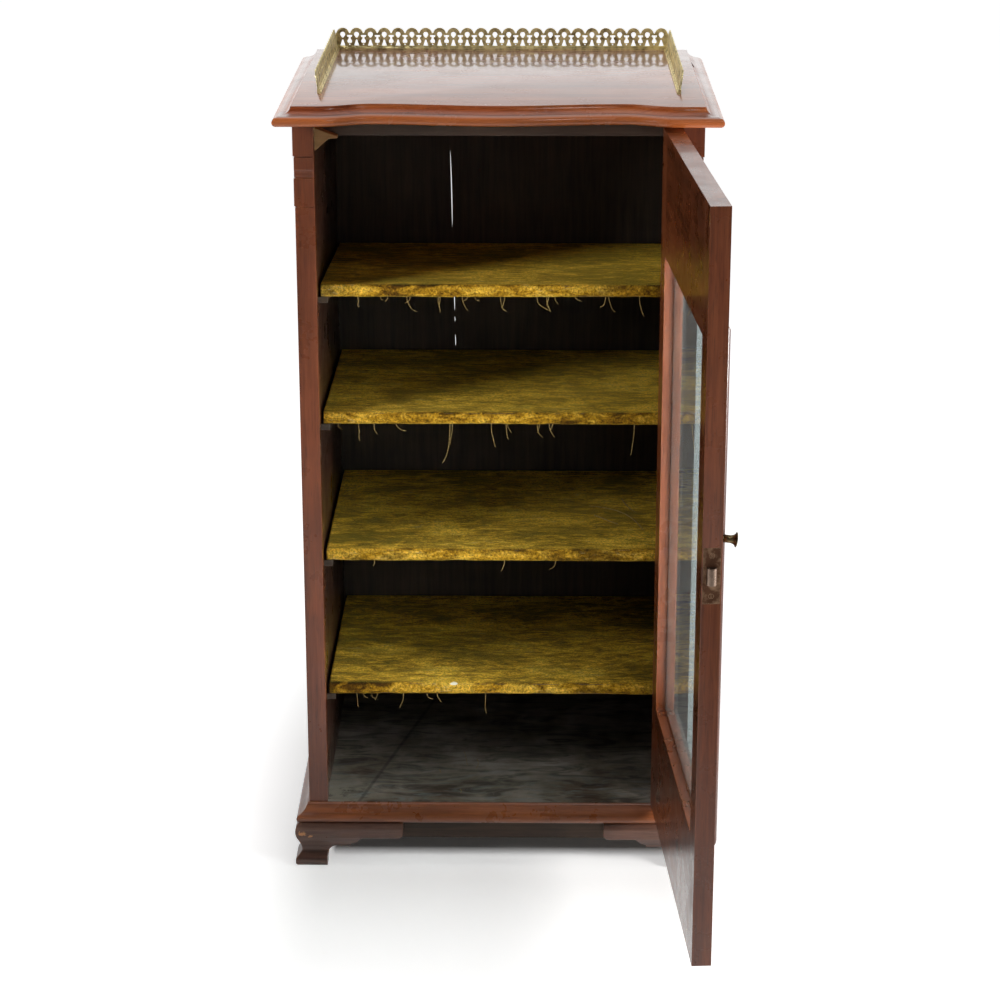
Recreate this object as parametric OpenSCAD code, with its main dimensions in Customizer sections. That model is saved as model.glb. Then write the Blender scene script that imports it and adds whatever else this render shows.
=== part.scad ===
// Music roll cabinet: a small mahogany case on ogee bracket feet with a serpentine moulded top,
// a pierced brass gallery, four cloth covered shelves and one glazed door with a spring catch.
// Millimetres, +Z up. The origin is on the room floor at mid width, in the plane of the front feet.
// The door is drawn open, as it stands at rest, and its hinge closes it.

/* [Case] */
// Width over the two sides
case_w = 481; // [440:1:540]
// Depth from the front edges of the sides to their back edges
case_d = 396; // [340:1:440]
// Height of the underside of the top above the room floor
top_z = 953.8; // [900:0.1:1000]
// Height of the interior floor above the room floor
floor_z = 82.7; // [78:0.1:100]
// Thickness of each side board
side_t = 22; // [18:0.5:26]
// Width of each moulded strip on the front edge of a side
strip_w = 23.3; // [23:0.1:28]
// Depth of each moulded strip
strip_d = 19; // [19:0.5:24]
// Thickness of the interior floor board
bottom_t = 18; // [12:0.5:20]
// Distance from the back edges of the sides forward to the faces of the back boards
back_in = 16; // [12:0.5:24]
// Thickness of the back boards
back_t = 10; // [6:0.5:12]
// Distance from the origin back to the front edges of the sides
front_y = 18; // [10:0.5:30]

/* [Top] */
// Thickness of the top
top_t = 21.5; // [18:0.5:26]
// How far the top stands out beyond each side
top_over_side = 21.7; // [18:0.1:30]
// How far the ends of the front stand out beyond the case
top_over_front = 39; // [34:0.5:45]
// How far the back of the top stands out beyond the case
top_over_back = 3; // [0:0.5:8]
// Width of the moulded edge
edge_in = 20.6; // [17:0.1:24]
// Height of the round nose under the cove
nose_h = 11.3; // [9:0.1:13]
// Depth of the two hollows of the serpentine front
wave_dip = 18; // [8:0.5:20]
// How far the middle of the serpentine front stands back from its ends
wave_mid = 4.4; // [0:0.1:8]
// Distance of each hollow from the middle
wave_x = 148; // [130:1:160]
// Distance from the middle to the straight ends of the front
wave_end = 208; // [195:1:212]
// Distance of the glued joint of the top from the front edges of the sides
top_joint_y = 305; // [280:1:330]

/* [Gallery] */
// Width of one pierced unit
unit_w = 18.05; // [16:0.05:20]
// Units along the back
back_units = 24; // [20:1:25]
// Units along each side
side_units = 18; // [12:1:19]
// Height of the moulded base of the gallery
gal_base_h = 5.4; // [4:0.1:8]
// Depth of the moulded base of the gallery
gal_base_d = 5; // [4:0.1:8]
// Height of the pierced band above the base
gal_h = 23.6; // [22:0.1:25]
// Thickness of the pierced band
gal_t = 1.8; // [1.2:0.1:2.4]
// Distance from the back of the gallery to the back edge of the top
gal_back_in = 3; // [1:0.5:10]
// Outward lean of the pierced bands at the sides
gal_lean = 8; // [0:1:12]

/* [Base and feet] */
// Height of the feet
foot_h = 59; // [50:0.5:60]
// Projection of the swelling of the feet and of their toes
foot_out = 17.9; // [14:0.1:20]
// Projection of the waist of the feet
foot_waist = 9.8; // [8:0.1:12]
// Width of each foot at the room floor
foot_w = 40.5; // [34:0.5:48]
// Height of the wings of the brackets
wing_h = 22; // [16:0.5:26]
// Length of the left front bracket
wing_left = 137; // [110:1:150]
// Length of the right front bracket
wing_right = 125; // [110:1:150]
// Length of the brackets along the sides
wing_side = 118; // [100:1:140]
// Thickness of the bracket stock behind the case line
foot_back = 2; // [1:0.5:6]
// Projection of the base moulding
base_out = 16; // [12:0.1:18]
// Height of the recessed rail between the front feet above the room floor
plinth_z = 32; // [28:0.5:50]

/* [Shelves] */
// Height of the front lower edge of the first shelf
shelf_1_z = 735.2; // [700:0.1:760]
// Height of the front lower edge of the second shelf
shelf_2_z = 574.6; // [540:0.1:600]
// Height of the front lower edge of the third shelf
shelf_3_z = 397; // [370:0.1:420]
// Height of the front lower edge of the fourth shelf
shelf_4_z = 217.4; // [200:0.1:240]
// Fall of the first shelf towards the back
shelf_1_fall = 28; // [0:1:30]
// Fall of the second shelf towards the back
shelf_2_fall = 14; // [0:1:30]
// Fall of the third shelf towards the back
shelf_3_fall = 7; // [0:1:30]
// Fall of the fourth shelf towards the back
shelf_4_fall = 10; // [0:1:30]
// Thickness of each shelf board
shelf_t = 12.6; // [10:0.1:15]
// Thickness of the cloth on the shelves
cloth_t = 1.2; // [0.8:0.1:2]
// How far the cloth is turned under the front edge
cloth_under = 24; // [12:1:40]
// Distance from the front edges of the sides back to the shelves
shelf_y = 31; // [28:0.5:50]
// Gap between a shelf and each side
shelf_gap = 2; // [1:0.1:4]
// Width of the battens that carry the shelves
bearer_w = 11.5; // [8:0.5:15]
// Height of the battens
bearer_h = 8; // [6:0.5:12]

/* [Door] */
// Angle at which the door stands open
open_angle = 93.7; // [80:0.1:120]
// Thickness of the door
door_t = 22.2; // [20:0.1:23]
// Gap between the door and the strip at the lock side
lock_gap = 1.9; // [1.6:0.1:3]
// Gap between the door and the strip at the hinge side
hinge_gap = 1.2; // [1:0.1:2]
// Gap under the door
door_low_gap = 1.5; // [1:0.1:3]
// Gap over the door
door_top_gap = 5.1; // [2:0.1:8]
// Width of the two stiles
stile_w = 39.8; // [34:0.1:50]
// Height of the bottom rail
rail_low_h = 144.6; // [100:0.1:160]
// Height of the top rail
rail_top_h = 145.6; // [100:0.1:160]
// Depth of wood behind the glass
lip_t = 11.2; // [8:0.1:13]
// Width of the rebate that takes the glass
rebate_w = 8; // [6:0.5:10]
// Thickness of the glass
glass_t = 3; // [2:0.1:4]
// Width of the glazing moulding
bead_w = 17; // [14:0.5:20]
// How far the glazing moulding stands proud of the door
bead_proud = 7; // [4:0.5:9]
// Length of the tenons of the rails
tenon_l = 26; // [20:1:32]
// Thickness of the tenons
tenon_t = 7; // [5:0.5:9]

/* [Hinges] */
// Height of each hinge
hinge_h = 50.8; // [40:0.1:64]
// Distance from each end of the door to the middle of its hinge
hinge_in = 110; // [80:1:150]
// Width of each leaf from the pin
leaf_w = 17; // [14:0.5:18]
// Thickness of each leaf
leaf_t = 1.5; // [1.2:0.1:2]
// Outer radius of the knuckles
knuckle_r = 3; // [2.6:0.1:3.4]
// Radius of the pins
hinge_pin_r = 1.5; // [1.2:0.1:1.8]
// Distance of the pin in front of the face of the door
pin_out = 1.6; // [1.2:0.1:2.4]

/* [Catch and knob] */
// Height of the middle of the catch above the room floor
catch_z = 548.4; // [450:0.1:650]
// Height of the plate of the catch
plate_h = 63.5; // [56:0.5:76]
// Width of the plate of the catch
plate_w = 19; // [16:0.5:20]
// Thickness of the plate of the catch
plate_t = 2; // [1.5:0.1:3]
// Thickness of the nose of the bolt
nose_w = 10.6; // [8:0.1:11]
// Height of the bolt
bolt_h = 19.3; // [14:0.1:24]
// How far the bolt stands out of the plate
bolt_out = 6.3; // [5:0.1:7]
// Depth of the case of the catch
lock_d = 28; // [24:0.5:29]
// Height of the case of the catch
lock_h = 38; // [30:1:40]
// Height of the knob above the room floor
knob_z = 584; // [560:0.5:640]
// Distance of the knob from the free edge of the door
knob_in = 21; // [18:0.5:23]
// Projection of the knob
knob_l = 18; // [14:0.5:24]
// Radius of the stem of the knob
knob_stem_r = 4.3; // [3.4:0.1:5]
// Radius of the flared end of the knob
knob_r = 8.3; // [7:0.1:10]
// Droop of the knob
knob_droop = 8; // [0:0.5:10]

/* [Hidden] */
$fn = 48;
e = 0.05;
cut = 1;
fit_gap = 0.15;
half_w = case_w / 2;
side_in = half_w - side_t;
strip_in = half_w - strip_w;
wood = [0.42, 0.20, 0.13];
wood_top = [0.50, 0.24, 0.15];
wood_dark = [0.16, 0.11, 0.08];
wood_raw = [0.55, 0.40, 0.26];
gold_cloth = [0.62, 0.52, 0.14];
brass = [0.72, 0.62, 0.36];
brass_dull = [0.40, 0.33, 0.25];
steel = [0.5, 0.48, 0.45];

shelf_zs = [shelf_1_z, shelf_2_z, shelf_3_z, shelf_4_z];
shelf_falls = [shelf_1_fall, shelf_2_fall, shelf_3_fall, shelf_4_fall];
back_y = case_d - back_in;
shelf_back_gap = 2;
shelf_short = 4;
shelf_d = back_y - shelf_y - shelf_back_gap;
cover_t = shelf_t + 2 * cloth_t;
block_z = 911.5;
neck_z = 886.5;
bead_z = 851.5;

door_right = strip_in - hinge_gap;
door_left = -strip_in + lock_gap;
door_low = floor_z + door_low_gap;
door_top = top_z - door_top_gap;
pane_low = door_low + rail_low_h;
pane_top = door_top - rail_top_h;
pane_left = door_left + stile_w;
pane_right = door_right - stile_w;
pin_x = strip_in - hinge_gap / 2;
hinge_zs = [door_low + hinge_in, door_top - hinge_in];
knuckles = 5;
leaf_face = 0.08;
bore_gap = 0.05;
screw_r = 1.6;
screw_head_r = 3;
head_t = 1.6;
slot_w = 0.8;
slot_deep = 0.7;
sink_scale = 1.03;
plate_y = door_t / 2;
plate_screw = plate_h * 0.36;

foot_curve_steps = 7;
edge_steps = 9;
front_steps = 64;

// Helpers

// Moves pieces from the plane of the case's front edges to the frame of the part
module at_front() {
  translate([0, front_y, 0]) children();
}

// A box from its low corner to its high corner
module span(low, high) {
  translate(low) cube(high - low);
}

// Turns a closed door about its pins to where it stands at rest
module swung() {
  at_front() translate([pin_x, -pin_out, 0]) rotate([0, 0, open_angle])
    translate([-pin_x, pin_out, 0]) children();
}

// Sweeps a profile of (projection, height) along X, standing out towards -Y
module run_x(x0, x1) {
  translate([x0, 0, 0]) rotate([90, 0, 90]) linear_extrude(x1 - x0) mirror([1, 0]) children();
}

// Sweeps a profile of (projection, height) along Y, standing out towards +X
module run_y(y0, y1) {
  translate([0, y1, 0]) rotate([90, 0, 0]) linear_extrude(y1 - y0) children();
}

// The hole for the shank of a screw, from its head's face along -Z
module screw_hole(l) {
  translate([0, 0, -l - 1]) cylinder(r = screw_r + 0.1, h = l);
}

// A screw with a countersunk head, its head's face on the origin and its point along -Z
module screw_blank(l) {
  rotate_extrude() polygon([[0, 0], [screw_head_r, 0], [screw_r, -head_t], [screw_r, -l + 2], [0, -l]]);
}

// The same with its driver slot
module screw(l) {
  difference() {
    screw_blank(l);
    translate([-screw_head_r - cut, -slot_w / 2, -slot_deep])
      cube([2 * (screw_head_r + cut), slot_w, slot_deep + cut]);
  }
}

// Top

// Smooth rise from 0 to 1
function ease(t) = (1 - cos(180 * t)) / 2;

// How far the front of the top stands back at x
function wave(x) =
  let(a = abs(x))
  a < wave_x ? wave_mid + (wave_dip - wave_mid) * ease(a / wave_x) :
  a < wave_end ? wave_dip * (1 - ease((a - wave_x) / (wave_end - wave_x))) : 0;

nose_flat = 5.5;
cove_in = 6.5;
fillet_h = 0.6;
// The nose's arc in (inset, height), a cove that rises from it, then the flat
nose_pts = [for (k = [0 : edge_steps])
  let(t = -90 + 180 * k / edge_steps)
  [nose_flat * (1 - cos(t)), nose_h / 2 * (1 + sin(t))]];
cove_pts = [for (k = [0 : edge_steps])
  let(t = 90 * k / edge_steps)
  [cove_in + (edge_in - cove_in) * sin(t), nose_h + fillet_h + (top_t - nose_h - fillet_h) * (1 - cos(t))]];
edge_pts = concat(nose_pts, cove_pts);

top_half = half_w + top_over_side;
top_back = case_d + top_over_back;

// One level of the top's outline, from its left end round the front to its right end
function top_loop(p) = concat(
  [[-(top_half - p[0]), top_joint_y, top_z + p[1]]],
  [for (j = [0 : front_steps])
    let(x = (top_half - p[0]) * (2 * j / front_steps - 1))
    [x, -(top_over_front - p[0]) + wave(x), top_z + p[1]]],
  [[top_half - p[0], top_joint_y, top_z + p[1]]]
);

module top_board() {
  n = front_steps + 3;
  m = len(edge_pts);
  pts = [for (p = edge_pts) each top_loop(p)];
  walls = [for (k = [0 : m - 2]) for (j = [0 : n - 2]) each [
    [k * n + j, (k + 1) * n + j, (k + 1) * n + j + 1],
    [k * n + j, (k + 1) * n + j + 1, k * n + j + 1]]];
  joint = [concat([for (k = [0 : m - 1]) k * n], [for (k = [m - 1 : -1 : 0]) k * n + n - 1])];
  low = [[for (j = [0 : n - 1]) j]];
  high = [[for (j = [n - 1 : -1 : 0]) (m - 1) * n + j]];
  turned = [for (f = joint) [for (i = [len(f) - 1 : -1 : 0]) f[i]]];
  color(wood_top) at_front() polyhedron(pts, concat(walls, turned, low, high));
}

module top_back_board() {
  outline = concat([for (p = edge_pts) [top_half - p[0], p[1]]],
    [for (k = [len(edge_pts) - 1 : -1 : 0]) [edge_pts[k][0] - top_half, edge_pts[k][1]]]);
  color(wood_top) at_front() translate([0, top_back, top_z])
    rotate([90, 0, 0]) linear_extrude(top_back - top_joint_y) polygon(outline);
}

// Gallery

ring_h = 15.2;
ring_web = 1.6;
eye_r = 3.2;
bead_hole_r = 0.9;
bead_hole_z = 2.2;
skirt = [[-0.9, 8.3], [0.9, 8.3], [1.5, 5.5], [3.3, 0.5], [-3.3, 0.5], [-1.5, 5.5]];
neck = [[-2.4, 13], [2.4, 13], [0.9, 10.9], [-0.9, 10.9]];
tee = [[-3.4, 14.2], [3.4, 14.2], [3, 11.9], [1.2, 11.4], [1.2, 9.8], [3, 7], [2.9, 4.8],
  [1.7, 4], [-1.7, 4], [-2.9, 4.8], [-3, 7], [-1.2, 9.8], [-1.2, 11.4], [-3, 11.9]];

// The pierced band for a number of units, from 0 along X
module pierced(units) {
  difference() {
    union() {
      square([units * unit_w, ring_h + ring_web]);
      for (i = [0 : units - 1]) translate([(i + 0.5) * unit_w, 0]) intersection() {
        translate([0, ring_h]) circle(gal_h - ring_h, $fn = 40);
        translate([-unit_w / 2, ring_h]) square([unit_w, gal_h]);
      }
    }
    for (i = [0 : units - 1]) translate([(i + 0.5) * unit_w, 0]) {
      translate([0, ring_h]) circle(eye_r, $fn = 24);
      polygon(neck);
      polygon(skirt);
    }
    for (i = [1 : units - 1]) translate([i * unit_w, 0]) {
      polygon(tee);
      translate([0, bead_hole_z]) circle(bead_hole_r, $fn = 14);
    }
  }
}

base_mid = gal_base_h * 0.5;
base_step = 1.4;
band_sink = 0.3;
band_in = 0.4;
base_end = 0.3;
// One run of gallery along X, its back face on y = 0, its band leaning back by an angle from its foot
module gallery_run(units, lean) {
  l = units * unit_w;
  foot = 2 * gal_t * sin(lean) + band_sink;
  translate([0, band_in, gal_base_h]) rotate([lean, 0, 0]) translate([0, gal_t, -foot])
    rotate([90, 0, 0]) linear_extrude(gal_t) pierced(units);
  span([-base_end, 0, 0], [l + base_end, gal_base_d, base_mid]);
  span([-base_end, 0, base_mid - e], [l + base_end, gal_base_d - base_step, gal_base_h]);
}

flat_z = top_z + top_t;
gal_y = top_back - gal_back_in;
gal_half = back_units * unit_w / 2;

module gallery_back() {
  color(brass) at_front() translate([-gal_half, gal_y, flat_z]) mirror([0, 1, 0]) gallery_run(back_units, 0);
}

module gallery_side(s) {
  color(brass) at_front() translate([s * gal_half, gal_y - gal_base_d - base_end - 0.1, flat_z])
    mirror([s > 0 ? 0 : 1, 0, 0]) rotate([0, 0, -90]) mirror([0, 1, 0]) gallery_run(side_units, gal_lean);
}

pin_head_r = 1.3;
// Places of the gallery's pins along the back, in units from the middle
pin_units = [-11.25, -2, 7.75, 11.25];
module gallery_pins() {
  color(brass) at_front() for (u = pin_units)
    translate([u * unit_w, gal_y - gal_base_d, flat_z + base_mid / 2]) rotate([90, 0, 0]) difference() {
      sphere(pin_head_r, $fn = 20);
      translate([0, 0, -pin_head_r]) cube(2 * pin_head_r, center = true);
    }
}

// Sides, strips and inner boards

rebate_x = 8;
module side(s) {
  color(wood) at_front() difference() {
    translate([s > 0 ? side_in : -half_w, strip_d, foot_h]) cube([side_t, case_d - strip_d, top_z - foot_h]);
    translate([s > 0 ? side_in - cut : -side_in - rebate_x, back_y, foot_h - cut])
      cube([rebate_x + cut, case_d, top_z]);
    nail_holes();
  }
}

groove_in = 1.2;
groove_h = 1.5;
low_block_out = 0.9;
mid_block_out = 0.4;
high_block_out = 1.4;
mid_cove_h = 9;
// One block at the head of a strip, over the groove that parts it from what is below
module strip_block(z0, z1, out) {
  span([strip_in, groove_in, z0 - e], [half_w - groove_in, strip_d, z0 + groove_h + e]);
  span([strip_in, -out, z0 + groove_h], [half_w + out, strip_d, z1]);
}

// A strip with its three blocks at the top, the middle one hollowed at its foot, drawn for the right side
module strip_body() {
  span([strip_in, 0, foot_h], [half_w, strip_d, bead_z]);
  strip_block(bead_z, neck_z, low_block_out);
  difference() {
    strip_block(neck_z, block_z, mid_block_out);
    translate([strip_in - cut, -mid_block_out, neck_z + groove_h]) rotate([0, 90, 0])
      scale([mid_cove_h / groove_in, 1, 1]) cylinder(r = groove_in, h = case_w);
  }
  strip_block(block_z, top_z, high_block_out);
}

strike_t = 1.5;
strike_edge = 0.5;
strike_w = 2 * (strip_d - plate_y - strike_edge);
strike_pocket = bolt_out + 1;
pocket_gap = 0.7;
module front_strip_left() {
  color(wood) at_front() difference() {
    mirror([1, 0, 0]) strip_body();
    strike_room(strike_t, strike_w + 2 * fit_gap, plate_h + 2 * fit_gap);
    strike_room(strike_pocket, nose_w + 2 * pocket_gap, bolt_h + 4 * pocket_gap);
    at_strike_screws() screw_hole(strike_screw_l);
  }
}

// Room in the left strip at the height of the catch, of a depth, width and height
module strike_room(d, w, h) {
  translate([-strip_in - d, plate_y - w / 2, catch_z - h / 2]) cube([d + cut, w, h]);
}

// Places the two screws of the strike plate, or their holes
strike_screw_l = 10;
module at_strike_screws() {
  for (z = [-1, 1]) translate([-strip_in, plate_y, catch_z + z * plate_screw]) rotate([0, 90, 0]) children();
}

// Places the two screws of the catch's plate, or their holes
plate_screw_l = 12;
module at_plate_screws() {
  for (z = [-1, 1]) translate([door_left, plate_y, catch_z + z * plate_screw]) rotate([0, -90, 0]) children();
}

module front_strip_right() {
  color(wood) at_front() difference() {
    strip_body();
    for (z = hinge_zs) {
      translate([pin_x, -pin_out, z - hinge_h / 2 - 0.2]) cylinder(r = knuckle_r + 0.3, h = hinge_h + 0.4);
      translate([strip_in - cut, -cut, z - hinge_h / 2 - 0.2])
        cube([leaf_t + leaf_face - hinge_gap / 2 + 0.02 + cut, leaf_w - pin_out + 0.2 + cut, hinge_h + 0.4]);
    }
    at_hinges() leaf_screws(1) screw_hole(leaf_screw_l);
  }
}

module bottom_board() {
  color(wood_dark) at_front() difference() {
    span([-side_in, 0, floor_z - bottom_t], [side_in, back_y, floor_z]);
    for (s = [-1, 1]) translate([s * (strip_in + side_t / 2), 0, floor_z])
      cube([side_t, 2 * strip_d, 3 * bottom_t], center = true);
    nail_holes();
  }
}

rail_y = 36;
rail_h = 23;
rail_t = 20;
module top_rail() {
  color(wood_dark) at_front() span([-side_in, rail_y, top_z - rail_h], [side_in, rail_y + rail_t, top_z]);
}

stop_gap = 0.5;
stop_top = 11;
stop_nose = 21.5;
stop_reach = 28;
stop_drop = 39;
module corner_block() {
  color(wood_raw) at_front() translate([0, rail_y, 0]) rotate([90, 0, 0])
    linear_extrude(rail_y - door_t - stop_gap) translate([-side_in, top_z])
    polygon([[0, -stop_top], [stop_reach, -stop_nose], [stop_reach, -rail_h - 1],
      [stop_reach * 0.62, -rail_h - 1.5], [1.5, -stop_drop], [0, -stop_drop + 1.5]]);
}

// Back boards, with slanting joints and one open shrinkage crack

joint_1_top = -70.5;
joint_1_low = -52;
joint_2_top = 78;
joint_2_low = 72;
// The openings of the crack, each as its low end, its high end and its width
crack_slits = [[736, 853, 1.4], [626, 664, 1.2], [611, 621, 1.1], [577, 597, 1.1]];

crack_steps = 8;

function joint_at(a, b, z) = b + (a - b) * (z - floor_z) / (top_z - floor_z);

// A back board between two slanting edges
module back_board(a_low, a_top, b_low, b_top) {
  difference() {
    translate([0, back_y + back_t, 0]) rotate([90, 0, 0]) linear_extrude(back_t)
      polygon([[a_low, z_low], [b_low, z_low], [b_top, top_z], [a_top, top_z]]);
    nail_holes();
  }
}

back_half = side_in + rebate_x - 0.3;
z_low = floor_z - bottom_t;
module back_board_left() {
  color(wood_dark) at_front()
    back_board(-back_half, -back_half, joint_at(joint_1_top, joint_1_low, z_low), joint_1_top);
}

module back_board_middle() {
  color(wood_dark) at_front() difference() {
    back_board(joint_at(joint_1_top, joint_1_low, z_low), joint_1_top,
      joint_at(joint_2_top, joint_2_low, z_low), joint_2_top);
    translate([0, back_y + back_t + cut, 0]) rotate([90, 0, 0]) linear_extrude(back_t + 2 * cut)
      for (c = crack_slits) polygon([for (k = [0 : crack_steps])
        let(t = k / crack_steps, z = c[0] + (c[1] - c[0]) * t)
        [joint_at(joint_1_top, joint_1_low, z) - e + c[2] * sqrt(sin(180 * t)), z]]);
  }
}

module back_board_right() {
  color(wood_dark) at_front()
    back_board(joint_at(joint_2_top, joint_2_low, z_low), joint_2_top, back_half, back_half);
}

nail_r = 0.9;
nail_head_r = 2.2;
nail_head_t = 0.8;
nail_l = 24;
nail_rows = 5;
nail_margin = 60;
nail_pitch = (top_z - z_low - 2 * nail_margin) / (nail_rows - 1);
board_edges = [[-back_half, joint_1_low], [joint_1_low, joint_2_low], [joint_2_low, back_half]];
// A nail with its head's seat on the origin and its point along -Z
module nail() {
  translate([0, 0, -nail_l]) cylinder(r = nail_r, h = nail_l + e, $fn = 16);
  cylinder(r = nail_head_r, h = nail_head_t, $fn = 16);
}

// Places the nails that hold the back boards to the sides and to the floor board, or their holes
module at_nails() {
  for (s = [-1, 1]) for (k = [0 : nail_rows - 1])
    translate([s * (back_half - rebate_x / 2), back_y + back_t, z_low + nail_margin + k * nail_pitch])
      rotate([-90, 0, 0]) children();
  for (b = board_edges) for (t = [0.25, 0.75])
    translate([b[0] + (b[1] - b[0]) * t, back_y + back_t, z_low + bottom_t / 2]) rotate([-90, 0, 0]) children();
}

// The holes for the nails
module nail_holes() {
  at_nails() translate([0, 0, -nail_l - cut]) cylinder(r = nail_r + 0.05, h = nail_l + 2 * cut, $fn = 16);
}

module back_nails() {
  color(steel) at_front() at_nails() nail();
}

// Base moulding and plinth

base_low = foot_h;
nose_r = 5.2;
lip_h = 2.6;
lip_out = 2.2;
ogee_low = base_low + 2 * nose_r + 1.2;
ogee_high = floor_z - lip_h - 0.2;
ogee_out = base_out - 6;
ogee_in = lip_out + 0.4;
// The section of the base moulding: a round nose, an ogee and a lip
base_section = concat(
  [[0, base_low], [base_out - nose_r, base_low]],
  [for (k = [0 : edge_steps]) let(t = -80 + 160 * k / edge_steps)
    [base_out - nose_r + nose_r * cos(t), base_low + nose_r + 0.2 + nose_r * sin(t)]],
  [for (k = [0 : edge_steps]) let(t = k / edge_steps)
    [ogee_in + (ogee_out - ogee_in) * (1 - t) * (1 - 0.35 * sin(180 * t)), ogee_low + (ogee_high - ogee_low) * t]],
  [[lip_out, floor_z - lip_h], [lip_out, floor_z], [0, floor_z]]
);

module mitre_front() {
  far = half_w + 2 * base_out;
  linear_extrude(floor_z + cut) polygon([[-half_w, 0], [-far, -2 * base_out], [far, -2 * base_out], [half_w, 0]]);
}

module base_moulding_front() {
  color(wood) at_front() intersection() {
    run_x(-half_w - base_out - cut, half_w + base_out + cut) polygon(base_section);
    mitre_front();
  }
}

module base_moulding_side(s) {
  color(wood) at_front() mirror([s > 0 ? 0 : 1, 0, 0]) difference() {
    translate([half_w, 0, 0]) run_y(-base_out - cut, case_d) polygon(base_section);
    mitre_front();
  }
}

plinth_end = 34;
plinth_t = 16;
module plinth_rail() {
  color(wood_dark) at_front() span([-strip_in + plinth_end, foot_back, plinth_z],
    [strip_in - plinth_end, foot_back + plinth_t, floor_z - bottom_t]);
}

// Feet

toe_h = 8.2;
waist_z = 20.5;
swell_z = 46.4;
foot_top_out = 12.2;
toe_r = 5;
toe_steps = 5;
function blend(a, b, t) = a + (b - a) * ease(t);
// The face of a foot in (projection, height), from the sole up, with a rounded toe
foot_section = concat(
  [[-foot_back, 0], [foot_out - toe_r, 0]],
  [for (k = [1 : toe_steps]) let(t = -90 + 90 * k / toe_steps)
    [foot_out - toe_r + toe_r * cos(t), toe_r + toe_r * sin(t)]],
  [for (k = [0 : foot_curve_steps]) let(t = k / foot_curve_steps)
    [blend(foot_out, foot_waist, t), toe_h + (waist_z - toe_h) * t]],
  [for (k = [1 : foot_curve_steps]) let(t = k / foot_curve_steps)
    [blend(foot_waist, foot_out, t), waist_z + (swell_z - waist_z) * t]],
  [for (k = [1 : foot_curve_steps]) let(t = 90 * k / foot_curve_steps)
    [foot_top_out + (foot_out - foot_top_out) * cos(t), swell_z + (foot_h - swell_z) * sin(t)]],
  [[-foot_back, foot_h]]
);

ankle_r = 13;
lobe_x = 30;
lobe_w = 14;
lobe_z = 29;
wing_end_r = 9;
wing_z = foot_h - wing_h;
// The front view of a bracket, from its outer end at 0 inwards along X
module bracket_view(reach) {
  difference() {
    square([reach, foot_h]);
    translate([foot_w, -cut]) square([reach, ankle_r + cut]);
    translate([foot_w + ankle_r, ankle_r]) circle(ankle_r);
    translate([foot_w + ankle_r, -cut]) square([reach, 2 * ankle_r + cut]);
    translate([foot_w + lobe_x, 0])
      polygon([[0, -cut], [0, lobe_z], [lobe_w * 0.4, lobe_z + 1.5], [lobe_w, wing_z + 1],
        [reach, wing_z], [reach, -cut]]);
    translate([reach - wing_end_r, 0]) difference() {
      square([wing_end_r + cut, wing_z + wing_end_r]);
      translate([0, wing_z + wing_end_r]) circle(wing_end_r);
    }
  }
}

module bracket_cut(reach, depth) {
  translate([0, depth, 0]) rotate([90, 0, 0]) linear_extrude(2 * depth) bracket_view(reach);
}

module mitre_foot() {
  linear_extrude(foot_h + cut) polygon([[-half_w + foot_back, foot_back], [-half_w - 2 * foot_out, -2 * foot_out],
    [half_w, -2 * foot_out], [half_w, foot_back]]);
}

// The front piece of a front foot, drawn at the left
module foot_front(reach) {
  intersection() {
    run_x(-half_w - foot_out - cut, half_w) polygon(foot_section);
    mitre_foot();
    translate([-half_w - foot_out, 0, 0]) bracket_cut(reach, 2 * foot_out);
  }
}

// The side piece of a foot, drawn at the right and at the front
module foot_return(reach) {
  far = half_w + 2 * foot_out;
  inner = half_w - foot_back;
  intersection() {
    translate([half_w, 0, 0]) run_y(-foot_out - cut, case_d) polygon(foot_section);
    translate([half_w, -foot_out, 0]) rotate([0, 0, 90]) bracket_cut(reach, 2 * foot_out);
    linear_extrude(foot_h + cut)
      polygon([[inner, foot_back], [far, -2 * foot_out], [far, case_d], [inner, case_d]]);
  }
}

// The side piece of a back foot, drawn at the right, square at the back
module foot_back_return(reach) {
  intersection() {
    translate([half_w, 0, 0]) run_y(0, case_d) polygon(foot_section);
    translate([half_w, case_d, 0]) rotate([0, 0, -90]) bracket_cut(reach, 2 * foot_out);
  }
}

brace_t = 14;
brace_l = wing_side - 10;
module foot_back_brackets() {
  color(wood_dark) at_front() for (s = [0, 1]) mirror([s, 0, 0]) intersection() {
    translate([-half_w + foot_back, case_d - brace_t, 0]) cube([wing_side, brace_t, foot_h]);
    translate([-half_w + foot_back, case_d, 0]) bracket_cut(brace_l, 2 * brace_t);
  }
}

foot_block_w = 20;
foot_block_up = 2;
module foot_blocks() {
  color(wood_raw) at_front() for (s = [0, 1]) mirror([s, 0, 0])
    for (y = [foot_back, case_d - brace_t - foot_block_w]) translate([-half_w + foot_back, y, foot_block_up])
      cube([foot_block_w, foot_block_w, foot_h - foot_block_up]);
}

// Shelves

// Carries a shelf's pieces at its front lower edge, tilted back
module at_shelf(i) {
  at_front() translate([0, shelf_y, shelf_zs[i]]) rotate([-asin(shelf_falls[i] / shelf_d), 0, 0]) children();
}

shelf_half = side_in - shelf_gap - cloth_t;
module shelf(i) {
  color(wood_dark) at_shelf(i)
    span([-shelf_half, cloth_t, cloth_t], [shelf_half, shelf_d - shelf_short, cloth_t + shelf_t]);
}

cloth_r = 4;
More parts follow.
